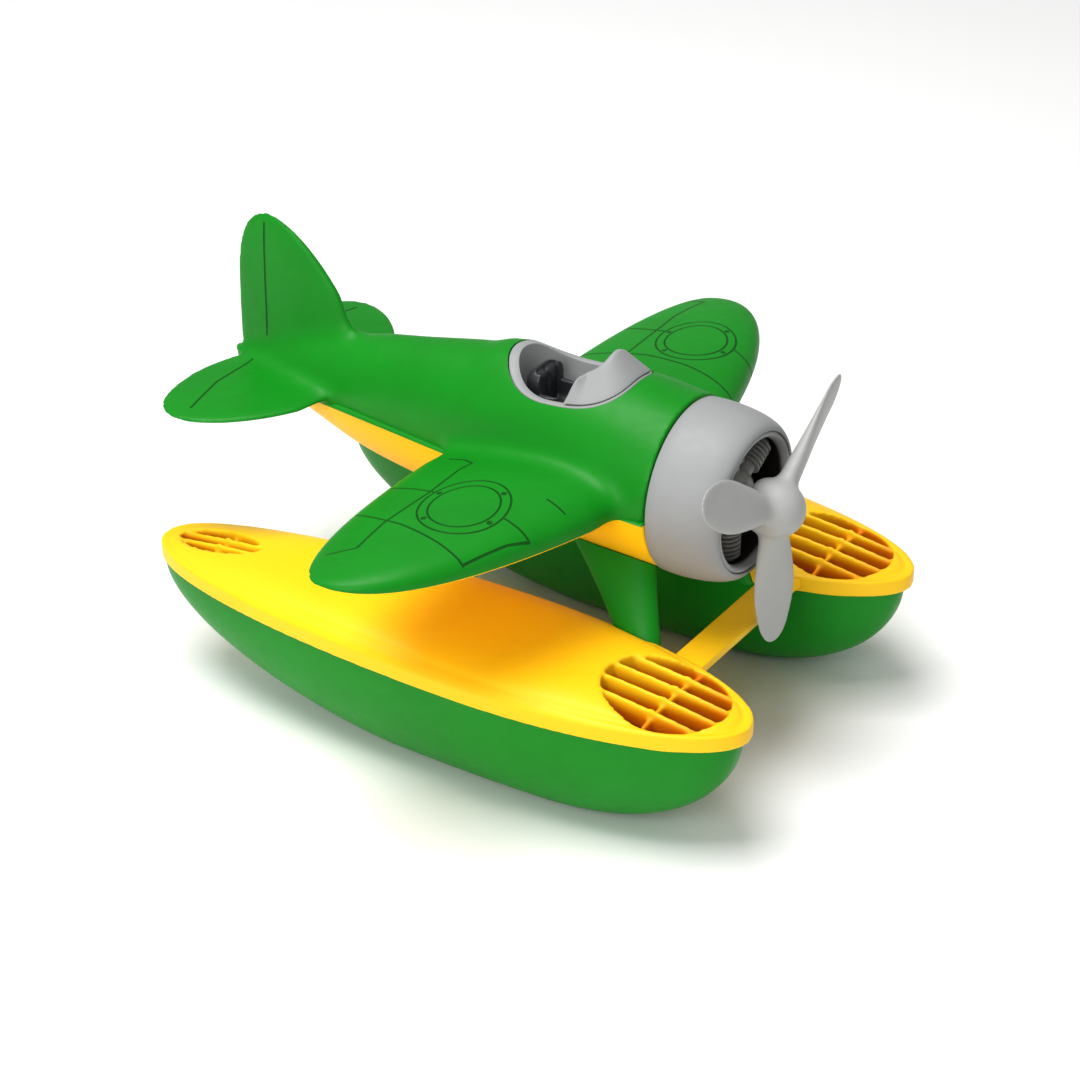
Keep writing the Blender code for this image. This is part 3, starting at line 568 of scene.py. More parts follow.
@dataclass
class Joint:
    """Joint between the green and the yellow moulding, rising to the wing tips."""

    gap: float = 0.3 * MM
    height: float = 85.5 * MM
    slope: float = 0.057
    reach: float = 140 * MM
    far: float = 200 * MM

    def room(self, above: bool) -> Form:
        """Everything above or below the joint, short of half the gap."""
        shift = 0.5 * self.gap if above else -0.5 * self.gap
        form = bmesh.new()
        bmesh.ops.create_grid(form, x_segments=2, y_segments=1, size=self.reach)
        for vert in form.verts:
            vert.co = (vert.co.y, vert.co.x, self.height + self.slope * abs(vert.co.x) + shift)
        lifted = bmesh.ops.extrude_face_region(form, geom=form.faces[:])
        for item in lifted["geom"]:
            if isinstance(item, bmesh.types.BMVert):
                item.co.z = self.far if above else 0.0
        bmesh.ops.recalc_face_normals(form, faces=form.faces)
        return form


@dataclass
class FloatPlan:
    """Plan outline of a float's lid."""

    front: float = 119.15 * MM
    rear: float = -109.5 * MM
    widest: float = 27 * MM
    half_beam: float = 29.8 * MM
    offset: float = 55 * MM
    bow: tuple[float, float] = (2.0, 2.0)
    stern: tuple[float, float] = (2.0, 2.2)

    @property
    def middle(self) -> float:
        """Station half way along the lid."""
        return halves(self.front, self.rear)[0]

    def half_width(self, x: float, front: float, rear: float, beam: float) -> float:
        """Half width at station x of an outline with the given ends and beam."""
        if x >= self.widest:
            return beam * arc((x - self.widest) / (front - self.widest), *self.bow)
        return beam * arc((self.widest - x) / (self.widest - rear), *self.stern)

    def point(self, turn: float, inset: float) -> tuple[float, float]:
        """Point of the outline, drawn in by the inset, for a turn from 0 to 1."""
        front, rear = self.front - inset, self.rear + inset
        angle = math.tau * turn
        along = math.cos(angle)
        x = self.widest + along * (front - self.widest if along > 0 else self.widest - rear)
        half = self.half_width(x, front, rear, self.half_beam - inset)
        return x, math.copysign(half, math.sin(angle))


@dataclass
class Grille:
    """Oval well with slats in a lid."""

    x: float
    half_length: float
    half_width: float
    slats: int
    rib: float = 1.5 * MM
    depth: float = 9.5 * MM
    slat: float = 1.8 * MM
    wall: float = 1.5 * MM
    drop: float = 0.5 * MM
    rib_drop: float = 2.6 * MM
    nub: tuple[float, float] = (0.7 * MM, 0.9 * MM)
    past: float = 0.6
    faces: int = 96
    bar_faces: tuple[int, int] = (20, 60)

    def oval(self, grow: float, centre: float) -> Outline:
        """Outline of the well, grown by a distance."""

        def outline(u: float) -> tuple[float, float]:
            x = self.x + (self.half_length + grow) * math.cos(math.tau * u)
            return x, centre + (self.half_width + grow) * math.sin(math.tau * u)

        return outline

    def reach(self, length: float, width: float, aside: float) -> float:
        """Half length of a bar across the well, at a distance from its middle."""
        return length * math.sqrt(1 - (aside / width) ** 2) + self.past * self.wall


@dataclass
class Float:
    """One float: green hull, yellow lid with two grilles."""

    side: Side
    plan: FloatPlan = field(default_factory=FloatPlan)
    gap: float = 0.3 * MM
    hull_top: float = 39.5 * MM
    hull_front: float = 116 * MM
    hull_rear: float = -108.3 * MM
    step: float = 1.2 * MM
    wall: float = 2 * MM
    keel: tuple[float, float] = (-2 * MM, 50 * MM)
    keel_flat: float = 0.65 * MM
    bow_rise: tuple[float, float] = (2.4, 2.0)
    stern_rise: tuple[float, float] = (1.55, 1.8)
    hull_round: float = 2.4
    rim: float = 5.6 * MM
    shoulder: float = 1.6 * MM
    arch: float = 4.8 * MM
    arch_power: float = 3.0
    valley: tuple[float, float, float] = (0.75 * MM, 3.3 * MM, 1.1 * MM)
    voxel: float = 0.63 * MM
    notch: float = 12 * MM
    hull_faces: tuple[int, int] = (72, 110)
    lid_faces: int = 168
    grilles: tuple[Grille, ...] = (
        Grille(89.5 * MM, 21 * MM, 18.4 * MM, 4),
        Grille(-86.3 * MM, 17 * MM, 7 * MM, 2),
    )

    @property
    def centre(self) -> float:
        """Y of the float's centre line."""
        return self.side.value * self.plan.offset

    def hull_depth(self, x: float) -> float:
        """Depth below the rim at station x: level keel, rounded rise to both ends."""
        deepest = self.hull_top + self.keel_flat
        low, high = self.keel
        if x > high:
            return deepest * arc((x - high) / (self.hull_front - high), *self.bow_rise)
        if x < low:
            return deepest * arc((low - x) / (low - self.hull_rear), *self.stern_rise)
        return deepest

    def hull(self) -> bpy.types.Object:
        """Hollow green boat under the lid."""
        middle, half = halves(self.hull_front, self.hull_rear)
        beam = self.plan.half_beam - self.step

        def place(u: float, v: float) -> Vector:
            x = middle - half * math.cos(math.pi * v)
            width = self.plan.half_width(x, self.hull_front, self.hull_rear, beam)
            angle = math.pi * u
            y = width * signed(math.cos(angle), 2 / self.hull_round)
            z = self.hull_top - self.hull_depth(x) * max(math.sin(angle), 0.0) ** (2 / self.hull_round)
            return Vector((x, self.centre + y, max(z, 0.0)))

        form = turn_out(wrapped(*self.hull_faces, place, capped=False), Vector((0, 0, -1)))
        item = made("hull_" + self.side.suffix, form)
        return worked(item, "SOLIDIFY", thickness=self.wall, offset=-1.0)

    def lid_height(self, x: float, scale: float) -> float:
        """Height of the lid's top at station x, on a ring drawn in to a scale."""
        middle, half = halves(self.plan.front, self.plan.rear)
        arch = self.arch * (1.0 - abs((x - middle) / half) ** self.arch_power)
        inner = 1.0 - scale**6
        return self.hull_top + self.gap + self.rim + (self.shoulder + arch) * inner

    def lid_top(self, x: float, away: float) -> float:
        """Height of the lid's top over a point, from its distance to the centre line."""
        plan = self.plan
        low, high = 0.0, 1.0
        for _ in range(SEARCHES):
            scale = 0.5 * (low + high)
            reach = plan.middle + (x - plan.middle) / scale
            half = plan.half_beam if plan.rear < reach < plan.front else 0.0
            if abs(away) / scale < plan.half_width(reach, plan.front, plan.rear, half):
                high = scale
            else:
                low = scale
        return self.lid_height(x, high)

    def lid_skin(self) -> Form:
        """Thick skin of the lid: rim, valley inside it and arched top."""
        middle = self.plan.middle
        rings = (0.0, 0.2, 0.4, 0.55, 0.7, 0.8, 0.88, 0.93, 0.965, 0.985, 1.0)
        insets = (7.0, 5.9, 5.0, 4.3, 3.7, 3.2, 2.7, 2.2, 1.7, 1.2, 0.75, 0.35, 0.0)
        low = self.hull_top + self.gap
        rows = [(self.wall, ring, self.wall) for ring in rings]
        rows += [(self.wall, None, 0.0), (0.0, None, 0.0)]
        rows += [(inset * MM, 1.0, 0.0) for inset in reversed(insets)]
        rows += [(insets[0] * MM, ring, 0.0) for ring in reversed(rings[:8])]

        def place(u: float, v: float) -> Vector:
            inset, scale, drop = rows[round(v * (len(rows) - 1))]
            x, y = self.plan.point(u, inset)
            if scale is None:
                return Vector((x, self.centre + y, low))
            px, py = middle + (x - middle) * scale, y * scale
            if drop:
                top = self.lid_height(px, scale) - drop
            else:
                top = self.lid_top(px, py) - (self.valley_at(x, inset) if scale == 1.0 else 0.0)
            return Vector((px, self.centre + py, top))

        return wrapped(self.lid_faces, len(rows) - 1, place)

    def valley_at(self, x: float, inset: float) -> float:
        """Depth of the soft valley that runs inside the rim, deepest round the bow."""
        depth, middle, width = self.valley
        fore = between((0.45, 1.0), ease((x - 20 * MM) / (70 * MM)))
        return fore * depth * math.exp(-(((inset - middle) / width) ** 2))

    def well_floor(self, grille: Grille) -> float:
        """Height of the bottom of a grille's well."""
        return self.lid_top(grille.x, 0.0) - grille.depth

    def well(self, grille: Grille) -> Form:
        """Wall of a grille's well."""
        floor = self.well_floor(grille)
        inner, outer = grille.oval(0.0, self.centre), grille.oval(grille.wall, self.centre)

        def place(u: float, v: float) -> Vector:
            corner = round(v * 4) % 4
            x, y = (inner, outer, outer, inner)[corner](u)
            top = self.lid_top(x, y - self.centre) - 0.3 * self.wall
            return Vector((x, y, (floor, floor, top, top)[corner]))

        return wrapped(grille.faces, 4, place)

    def bar(self, grille: Grille, ends: Sequence[Vector], low: float, drop: float, nub: float) -> Form:
        """Slat or rib with a rounded top that follows the lid.

        Args:
            grille: Grille that the bar is in.
            ends: Its two ends, in plan.
            low: Height of its foot.
            drop: Depth of its top below the lid.
            nub: Rise of its top where the rib crosses.

        Returns:
            The closed bar.
        """
        start, end = ends
        aside = Vector((start.y - end.y, end.x - start.x, 0)).normalized() * (0.5 * grille.slat)

        def place(u: float, v: float) -> Vector:
            spot = start.lerp(end, v)
            near = math.exp(-(((spot.x - grille.x - grille.rib) / grille.nub[1]) ** 2))
            top = self.lid_top(spot.x, spot.y - self.centre) - drop + nub * near
            angle = math.tau * u
            rise = 0.5 + 0.5 * signed(math.sin(angle), 0.4)
            up = Vector((0, 0, low + (top - low) * rise))
            return spot + aside * signed(math.cos(angle), 0.6) + up

        return wrapped(*grille.bar_faces, place)

    def bars(self, grille: Grille) -> Iterator[Form]:
        """Slats along the float and the rib across them."""
        floor = self.well_floor(grille)
        length, width = grille.half_length, grille.half_width
        for k in range(grille.slats):
            across = width * (2 * (k + 1) / (grille.slats + 1) - 1)
            reach = grille.reach(length, width, across)
            ends = [Vector((grille.x + way * reach, self.centre + across, 0)) for way in (-1, 1)]
            yield self.bar(grille, ends, floor + 0.4 * MM, grille.drop, grille.nub[0])
        reach = grille.reach(width, length, grille.rib)
        ends = [Vector((grille.x + grille.rib, self.centre + way * reach, 0)) for way in (-1, 1)]
        yield self.bar(grille, ends, floor + 0.8 * MM, grille.rib_drop, 0.0)

    def lid(self, strut: "Strut") -> bpy.types.Object:
        """Yellow lid with its grilles, notched for the foot of the strut."""
        name = "deck_" + self.side.suffix
        item = made(name, self.lid_skin())
        for grille in self.grilles:
            floor, oval = self.well_floor(grille), grille.oval(0.0, self.centre)
            cut(item, upright(oval, grille.faces, floor - 5 * MM, floor + 25 * MM), Cut.REMOVE)
        inner = [self.well(grille) for grille in self.grilles]
        inner += [bar for grille in self.grilles for bar in self.bars(grille)]
        item = fused(name, [taken(item), *inner], self.voxel, 4)
        return cut(item, strut.form(self.gap, self.notch), Cut.REMOVE)

    def shade_in_wells(self, bench: Bench, point: Wire) -> Wire:
        """Painted shade: 1 deep in the wells of the grilles, where the yellow turns dark orange, 0 on the
        lid.
        """
        x, y, z = bench.axes(point)

        def depth(grille: Grille) -> Wire:
            """The same for one grille."""
            along = (x - grille.x) / (grille.half_length + self.gap)
            across = (y - self.centre) / (grille.half_width + self.gap)
            top = self.lid_top(grille.x, 0.0)
            inside = (along * along + across * across).fade(1.02, 0.98)
            return inside * z.fade(top - 1.2 * MM, top - 5.5 * MM)

        return reduce(Wire.most, map(depth, self.grilles))

    def build(self, strut: "Strut") -> None:
        """Builds and dresses the float."""
        suffix = self.side.suffix
        dress(self.hull(), GREEN, "float_hull_" + suffix)
        # The wells of the grilles are given painted shade.
        dress(self.lid(strut), YELLOW, "float_deck_" + suffix, painted_shade=self.shade_in_wells)


@dataclass
class Fuselage:
    """Round body from the tail cone to the joint of the cowl."""

    rows: tuple[tuple[float, ...], ...] = (
        (-117, 3.2, 87, 93),
        (-84, 10.5, 76, 104),
        (-62, 14, 68.3, 109.5),
        (-40, 17.3, 64.5, 113.5),
        (-16, 21, 62.5, 118.1),
        (9, 24.5, 61.5, 121.6),
        (44, 28, 61.1, 121.5),
        (64.7, 29, 61, 119),
    )
    roundness: float = 2.0
    axis: float = 89.3 * MM
    collar: tuple[float, float, float, float] = (-15, -5, 10, 18)
    collar_height: float = 1.5 * MM
    faces: tuple[int, int] = (120, 130)

    def section(self, x: float) -> tuple[float, float, float, float]:
        """Half width, bottom, waist and top at station x."""
        half, bottom, top = (value * MM for value in smooth_row(self.rows, x / MM))
        middle = 0.5 * (bottom + top)
        return half, bottom, middle + 0.1 * (self.axis - middle), top

    def bulge(self, x: float, y: float) -> float:
        """Rise of the collar behind the cockpit over a point."""
        start, full, half, end = (value * MM for value in self.collar)
        along = ease((x - start) / (full - start)) * (1.0 - ease(x / half))
        return self.collar_height * along * (1.0 - ease((abs(y) - 0.5 * half) / (end - 0.5 * half)))

    def point(self, x: float, turn: float, grow: float = 0.0, collar: bool = False) -> Vector:
        """Point of the skin at station x, for a turn from 0 to 1 round the body."""
        half, bottom, waist, top = self.section(x)
        angle = math.tau * turn
        rise = signed(math.sin(angle), 2 / self.roundness)
        reach = (top - waist if rise > 0 else waist - bottom) + grow
        y = (half + grow) * signed(math.cos(angle), 2 / self.roundness)
        extra = self.bulge(x, y) if collar and rise > 0.0 else 0.0
        return Vector((x, y, waist + reach * rise + extra))

    def form(self, grow: float = 0.0, collar: bool = False) -> Form:
        """Closed body, with or without the collar."""
        start, end = self.rows[0][0] * MM, self.rows[-1][0] * MM
        return wrapped(*self.faces, lambda u, v: self.point(start + (end - start) * v, u, grow, collar))

    def top_height(self, x: float, y: float) -> float:
        """Height of the upper surface over a point."""
        half, _, waist, top = self.section(x)
        return waist + (top - waist) * arc(y / half, self.roundness, self.roundness)


@dataclass
class Wing:
    """Rounded wing from tip to tip."""

    joint: Joint
    half_span: float = 120.5 * MM
    tip: float = 6 * MM
    forward: float = 53.5 * MM
    back: float = 22 * MM
    lead: tuple[float, float] = (1.35, 2.4)
    trail: tuple[float, float] = (2.5, 2.0)
    above: tuple[float, float] = (11.6 * MM, 6.2 * MM)
    fuller: float = 0.45
    below: tuple[float, float] = (4.0 * MM, 2.2 * MM)
    faces: tuple[int, int] = (96, 160)

    def form(self, inset: float) -> Form:
        """Closed wing, drawn in from its edge by the inset."""
        half_span = self.half_span - inset

        def place(u: float, v: float) -> Vector:
            station = math.sin(0.5 * math.pi * (2 * v - 1))
            tip, y = abs(station), station * half_span
            lead = self.tip + (self.forward - inset) * arc(tip, *self.lead)
            trail = self.tip - (self.back - inset) * arc(tip, *self.trail)
            x, along, rise = leaf(u, lead, trail)
            plane = self.joint.height + self.joint.slope * abs(y)
            height = between(self.above if rise > 0 else self.below, tip) * arc(tip, 6.0, 2.0)
            return Vector((x, y, plane + height * (1 + self.fuller * along) * rise))

        return wrapped(*self.faces, place)


@dataclass
class Tail:
    """Tailplane, fin and the round end of the tail cone."""

    station: float = -102 * MM
    half_span: float = 54 * MM
    reach: tuple[float, float, float] = (37 * MM, 11 * MM, 6.5 * MM)
    lead: tuple[float, float] = (1.9, 1.6)
    height: float = 89.7 * MM
    thick: tuple[float, float] = (2.6 * MM, 1.6 * MM)
    fin_base: float = 91.5 * MM
    fin_top: float = 144.6 * MM
    fin_trail: float = -116.5 * MM
    fin_crest: float = -102.5 * MM
    fin_chord: float = 41.5 * MM
    fin_lead: tuple[float, float] = (1.45, 1.6)
    fin_thick: tuple[float, float] = (3.6 * MM, 1.6 * MM)
    flat_faces: tuple[int, int] = (72, 100)
    fin_faces: tuple[int, int] = (72, 80)
    balls: tuple[tuple[float, float], ...] = ((2.5 * MM, 2.5 * MM), (6.2 * MM, 3.1 * MM))

    def flat(self) -> Form:
        """Rounded tailplane, widest behind its middle."""

        def place(u: float, v: float) -> Vector:
            t = math.sin(0.5 * math.pi * (2 * v - 1))
            away = abs(t)
            forward, back, bulge = self.reach
            lead = self.station + forward * arc(away, *self.lead)
            sweep = back + bulge * math.sin(0.5 * math.pi * min(2 * away, 1.0))
            trail = self.station - sweep * arc(away, 5.0, 2.0)
            x, _, rise = leaf(u, lead, trail)
            thick = between(self.thick, away) * arc(away, 8.0, 2.0)
            return Vector((x, t * self.half_span, self.height + thick * rise))

        return wrapped(*self.flat_faces, place)

    def fin(self) -> Form:
        """Tall fin with an upright trailing edge and a swept leading edge."""

        def place(u: float, v: float) -> Vector:
            t = math.sin(0.5 * math.pi * v)
            lead = self.fin_crest + self.fin_chord * arc(t, *self.fin_lead)
            trail = self.fin_trail + (self.fin_crest - self.fin_trail) * (1 - arc(t, 5.0, 2.0))
            x, along, rise = leaf(u, lead, trail)
            y = between(self.fin_thick, t) * arc(t, 7.0, 2.0) * rise * (1 + 0.2 * along)
            return Vector((x, y, between((self.fin_base, self.fin_top), t)))

        return wrapped(*self.fin_faces, place)

    def end(self, low: float) -> Iterator[Form]:
        """Knob of two balls at the very end, which starts at the station low."""
        for ahead, radius in self.balls:
            form = bmesh.new()
            bmesh.ops.create_uvsphere(form, u_segments=32, v_segments=20, radius=radius)
            bmesh.ops.translate(form, verts=form.verts, vec=(low + ahead, 0, self.height + 0.6 * MM))
            yield form


@dataclass
class Cockpit:
    """Opening in the body with its liner, seat and screen."""

    fuselage: Fuselage
    gap: float = 0.3 * MM
    rear: float = -1.7 * MM
    widest: float = 23 * MM
    front: float = 46.3 * MM
    half_width: float = 17.9 * MM
    ahead: tuple[float, float] = (2.75, 3.0)
    behind: tuple[float, float] = (2.5, 2.0)
    share: float = 1.3
    floor: float = 97.5 * MM
    base: float = 95 * MM
    liner: float = 2.8 * MM
    screen_inset: float = 0.6 * MM
    screen_wall: float = 1.8 * MM
    screen_rear: float = 27.5 * MM
    screen_rise: float = 7.4 * MM
    screen_pivot: float = 28 * MM
    screen_lean: float = 0.45
    seat_x: float = 12.5 * MM
    seat_size: tuple[float, float, float] = (14 * MM, 15.5 * MM, 19.5 * MM)
    seat_voxel: float = 0.35 * MM
    ceiling: float = 130 * MM
    faces: int = 160
    screen_faces: tuple[int, int] = (40, 150)

    def outline(self, inset: float) -> Outline:
        """Opening from above, drawn in by the inset: round behind, pointed in front."""

        def point(u: float) -> tuple[float, float]:
            angle = math.tau * u
            along = math.cos(angle)
            if along >= 0:
                x = self.widest + (self.front - self.widest - self.share * inset) * along
                half = (self.half_width - inset) * arc(along, *self.ahead)
            else:
                x = self.widest + (self.widest - self.rear - self.share * inset) * along
                half = (self.half_width - inset) * arc(along, *self.behind)
            return x, math.copysign(half, math.sin(angle))

        return point

    def room(self, inset: float, low: float) -> Form:
        """Upright room of the opening."""
        return upright(self.outline(inset), self.faces, low, self.ceiling)

    def tub(self) -> bpy.types.Object:
        """Grey liner, with a level lip that starts at the surface of the body."""
        wall, edge = self.liner, self.outline(self.gap)
        lip = ((0.0, -0.5), (0.15, -0.15), (0.5, 0.0))
        rim = ((-0.6, 0.0), (-0.15, -0.2), (0.0, -0.8))
        rows = [(0.0, self.base - self.floor, False)]
        rows += [(inset * MM, height * MM, True) for inset, height in lip]
        rows += [(wall + inset * MM, height * MM, True) for inset, height in rim]
        rows += [(wall + 0.2 * MM, 2 * MM, False), (wall + 1.4 * MM, 0.0, False)]

        def place(u: float, v: float) -> Vector:
            inset, height, at_lip = rows[round(v * (len(rows) - 1))]
            level = self.floor
            if at_lip:
                level = self.fuselage.top_height(*edge(u)) + self.fuselage.bulge(*edge(u))
            return Vector((*self.outline(self.gap + inset)(u), level + height))

        return made("cockpit_liner", wrapped(self.faces, len(rows) - 1, place))

    def seat(self) -> bpy.types.Object:
        """Bucket seat with a wrapped back."""
        depth, width, height = self.seat_size
        rear, low = self.seat_x - depth / 2, self.floor + self.gap
        shell = block((rear, -width / 2, low), (rear + depth, width / 2, low + height), 4.5 * MM, 6)
        item = made("pilot_seat", shell)
        inner = 0.5 * width - 1.9 * MM
        start = (rear + 3.4 * MM, -inner, self.floor + 6 * MM)
        cut(item, block(start, (rear + 2 * depth, inner, self.floor + 2 * height), 2 * MM, 4), Cut.REMOVE)
        start = (rear + 6.4 * MM, -width, low + 12 * MM)
        cut(item, block(start, (start[0] + depth, width, low + 2 * height)), Cut.REMOVE)
        lobes = []
        for y in (-inner - 0.15 * MM, -0.15 * MM):
            end = (rear + 5.4 * MM, y + inner + 0.3 * MM, low + height - 1.6 * MM)
            lobes.append(block((rear + 1.5 * MM, y, low), end, 1.6 * MM, 4))
        return fused("pilot_seat", [taken(item), *lobes], self.seat_voxel, 4)

    def screen(self) -> bpy.types.Object:
        """Screen wrapped round the front of the opening, leaning in to a ridge."""
        outline = self.outline(self.screen_inset)
        reach = self.front - self.widest - self.share * self.screen_inset
        share = math.acos((self.screen_rear - self.widest) / reach) / math.tau

        def place(u: float, v: float) -> Vector:
            x, y = outline(share * (2 * v - 1))
            ahead = x - self.screen_rear
            height = self.screen_rise * math.sin(0.5 * math.pi * min(0.15 + ahead / (4 * MM), 1.0))
            lean = self.screen_lean * min(0.3 + 0.7 * ahead / (7 * MM), 1.0)
            inward = Vector((self.screen_pivot - x, -y, 0))
            wall = inward.normalized() * self.screen_wall
            angle = math.tau * u
            across = 0.5 - 0.5 * signed(math.cos(angle), 0.35)
            rise = 0.5 + 0.5 * signed(math.sin(angle), 0.35)
            foot = Vector((x, y, self.fuselage.top_height(x, y) + self.gap)) + wall * across
            return foot.lerp(foot + inward * lean + Vector((0, 0, height)), rise)

        return made("screen", wrapped(*self.screen_faces, place))

    def build(self) -> None:
        """Builds and dresses the cockpit."""
        dress(self.tub(), GREY, "cockpit_tub")
        dress(self.seat(), DARK, "seat")
        dress(self.screen(), GREY, "windscreen")


@dataclass
class Airframe:
    """The two mouldings: green above the joint, yellow below it."""

    joint: Joint
    fuselage: Fuselage
    wing: Wing
    tail: Tail
    cockpit: Cockpit
    voxel: float = 0.85 * MM
    lip: float = 1.4 * MM
    lip_height: float = 2.6 * MM
    inset: float = 1.0 * MM
    fillet: tuple[float, float] = (14 * MM, 15 * MM)
    passes: tuple[int, int] = (190, 90)
    belt_faces: tuple[int, int] = (48, 90)

    def reach(self, point: Vector) -> float:
        """Reach of the fillets at a point: wider at the tail, small at its very end."""
        full = between(self.fillet, ease((-50 * MM - point.x) / (30 * MM)))
        return full * (1.0 - 0.85 * ease((-104 * MM - point.x) / (7 * MM)))

    def belt(self) -> Form:
        """Lip of the green moulding along the joint, from the cowl to the tail."""
        start, end = self.fuselage.rows[0][0] * MM + 8 * MM, self.fuselage.rows[-1][0] * MM

        def place(u: float, v: float) -> Vector:
            x = start + (end - start) * v
            half = self.fuselage.section(x)[0] + self.lip
            angle = math.tau * u
            y = half * signed(math.cos(angle), 0.12)
            z = self.joint.height + self.lip_height * signed(math.sin(angle), 0.35)
            return Vector((x, y, z))

        return wrapped(*self.belt_faces, place)

    def upper(self) -> bpy.types.Object:
        """Green moulding: top of the body, wings, tailplane and fin."""
        forms = [self.fuselage.form(collar=True), self.wing.form(0.0)]
        forms += [self.tail.flat(), self.tail.fin()]
        trees = [BVHTree.FromBMesh(form) for form in forms]
        forms += self.tail.end(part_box("upper_shell")[0].x)
        item = fused("upper_moulding", forms, self.voxel, 3)
        soft_seams(item, trees, self.reach, self.passes[0])
        cut(item, self.belt(), Cut.JOIN)
        cut(item, self.joint.room(True), Cut.KEEP)
        return cut(item, self.cockpit.room(0.0, self.cockpit.base - self.joint.gap), Cut.REMOVE)

    def lower(self) -> bpy.types.Object:
        """Yellow moulding: belly and undersides of the wings."""
        forms = [self.fuselage.form(), self.wing.form(self.inset)]
        trees = [BVHTree.FromBMesh(form) for form in forms]
        item = fused("lower_moulding", forms, self.voxel, 3)
        soft_seams(item, trees, self.reach, self.passes[1])
        return cut(item, self.joint.room(False), Cut.KEEP)

    def build(self) -> None:
        """Builds and dresses the mouldings and the cockpit."""
        dress(self.upper(), GREEN, "upper_shell", marks=wing_marks)
        dress(self.lower(), YELLOW, "lower_shell")
        self.cockpit.build()


@dataclass(frozen=True)
class Hatch:
    """Oval access hatch: centre, half axes and turn in the plan of a wing."""

    x: float
    y: float
    half: tuple[float, float]
    turn: float


# Plan points (x, y) in millimetres. The two wings of the real toy differ.
WING_LINES = (
    ((-1, -105.9), (6.3, -100.2), (3.9, -82.3), (4.4, -58.8), (3.0, -40.7), (3.9, -34.5), (-0.1, -32.6)),
    ((-0.1, -32.6), (-6.4, -32.2)),
    ((-10, -78.5), (0.8, -80.7), (9.7, -82.4), (24, -86.7), (32.9, -89.1), (38.3, -90.0)),
    ((38.3, -90.0), (43.3, -73.6), (46.7, -66.1)),
    ((-13, -57.2), (-2.3, -57.5), (8.2, -58.8), (36.5, -64.5), (42.6, -65.4), (46.7, -66.1)),
    ((40.8, -46.8), (48.0, -48.1)),
    ((3.2, 34.5), (4.8, 61.3), (4.1, 83.4), (3.3, 94.4), (5.5, 111.0), (-2, 112)),
    ((-10, 81.6), (-3.1, 81.0), (10.0, 79.6), (37.1, 77.7), (44.0, 76.3), (47.5, 74.8)),
    ((-13, 57.4), (-1.8, 58.8), (12.8, 59.3), (31.5, 56.5), (45.0, 53.5), (50, 52.5)),
)
INNER_RING = 0.78
DIMPLES = (35, 145, 215, 325)
DIMPLE_RING = 0.89
HATCHES = (Hatch(21.1, -64.05, (14.4, 18.4), 20.0), Hatch(22.4, 76.3, (13.9, 16.3), 25.0))
ELEVATOR = ((-106, 8.4), (-106.2, 27.6), (-101.9, 46.9))
RUDDER = (-103.3, 99.8, 141.5)
LINE = 0.27 * MM
EDGE = (LINE * 1.7, LINE * 0.5)


def hatch_marks(bench: Bench, x: Wire, y: Wire, hatch: Hatch) -> tuple[Wire, Wire]:
    """Rings and dimples of one hatch, and the distance outside its outer ring."""
    across, along = x - hatch.x * MM, y - hatch.y * MM
    turn = math.radians(hatch.turn)
    half_x, half_y = (value * MM for value in hatch.half)
    first = (across * math.cos(turn) + along * math.sin(turn)) / half_x
    second = (along * math.cos(turn) - across * math.sin(turn)) / half_y
    scaled = bench.flat(first, second)
    radius = bench.vector("LENGTH", scaled, (0, 0, 0), 1)
    mean = 0.5 * (half_x + half_y)
    outside = (radius - 1.0) * mean
    marks = abs(outside).least(abs((radius - INNER_RING) * mean)).fade(LINE * 1.6, LINE * 0.5)
    for angle in map(math.radians, DIMPLES):
        spot = (DIMPLE_RING * math.cos(angle), DIMPLE_RING * math.sin(angle), 0.0)
        marks = marks.most(bench.vector("DISTANCE", scaled, spot, 1).fade(0.07, 0.045))
    return marks, outside


def wing_marks(bench: Bench, point: Wire) -> Wire:
    """Engraved lines of the wings, tailplane and fin, and an oval hatch on each wing.

    Args:
        bench: Tree of the material.
        point: Point of the surface.

    Returns:
        1 in a line and 0 beside it.
    """
    x, y, z = bench.axes(point)
    flat, folded = bench.flat(x, y), bench.flat(x, abs(y))
    legs = [(flat, line[k : k + 2]) for line in WING_LINES for k in range(len(line) - 1)]
    legs += [(folded, ELEVATOR[k : k + 2]) for k in range(len(ELEVATOR) - 1)]
    near = reduce(Wire.least, (bench.to_line(where, *ends) for where, ends in legs))
    marks, outside = zip(*(hatch_marks(bench, x, y, hatch) for hatch in HATCHES))
    rings, clear = reduce(Wire.most, marks), reduce(Wire.least, outside)
    lines = near.fade(*EDGE) * clear.over(0.0)
    station, low, high = (value * MM for value in RUDDER)
    rudder = abs(x - station).fade(*EDGE) * z.over(low) * (high - z).over(0.0)
    return lines.most(rings).most(rudder)


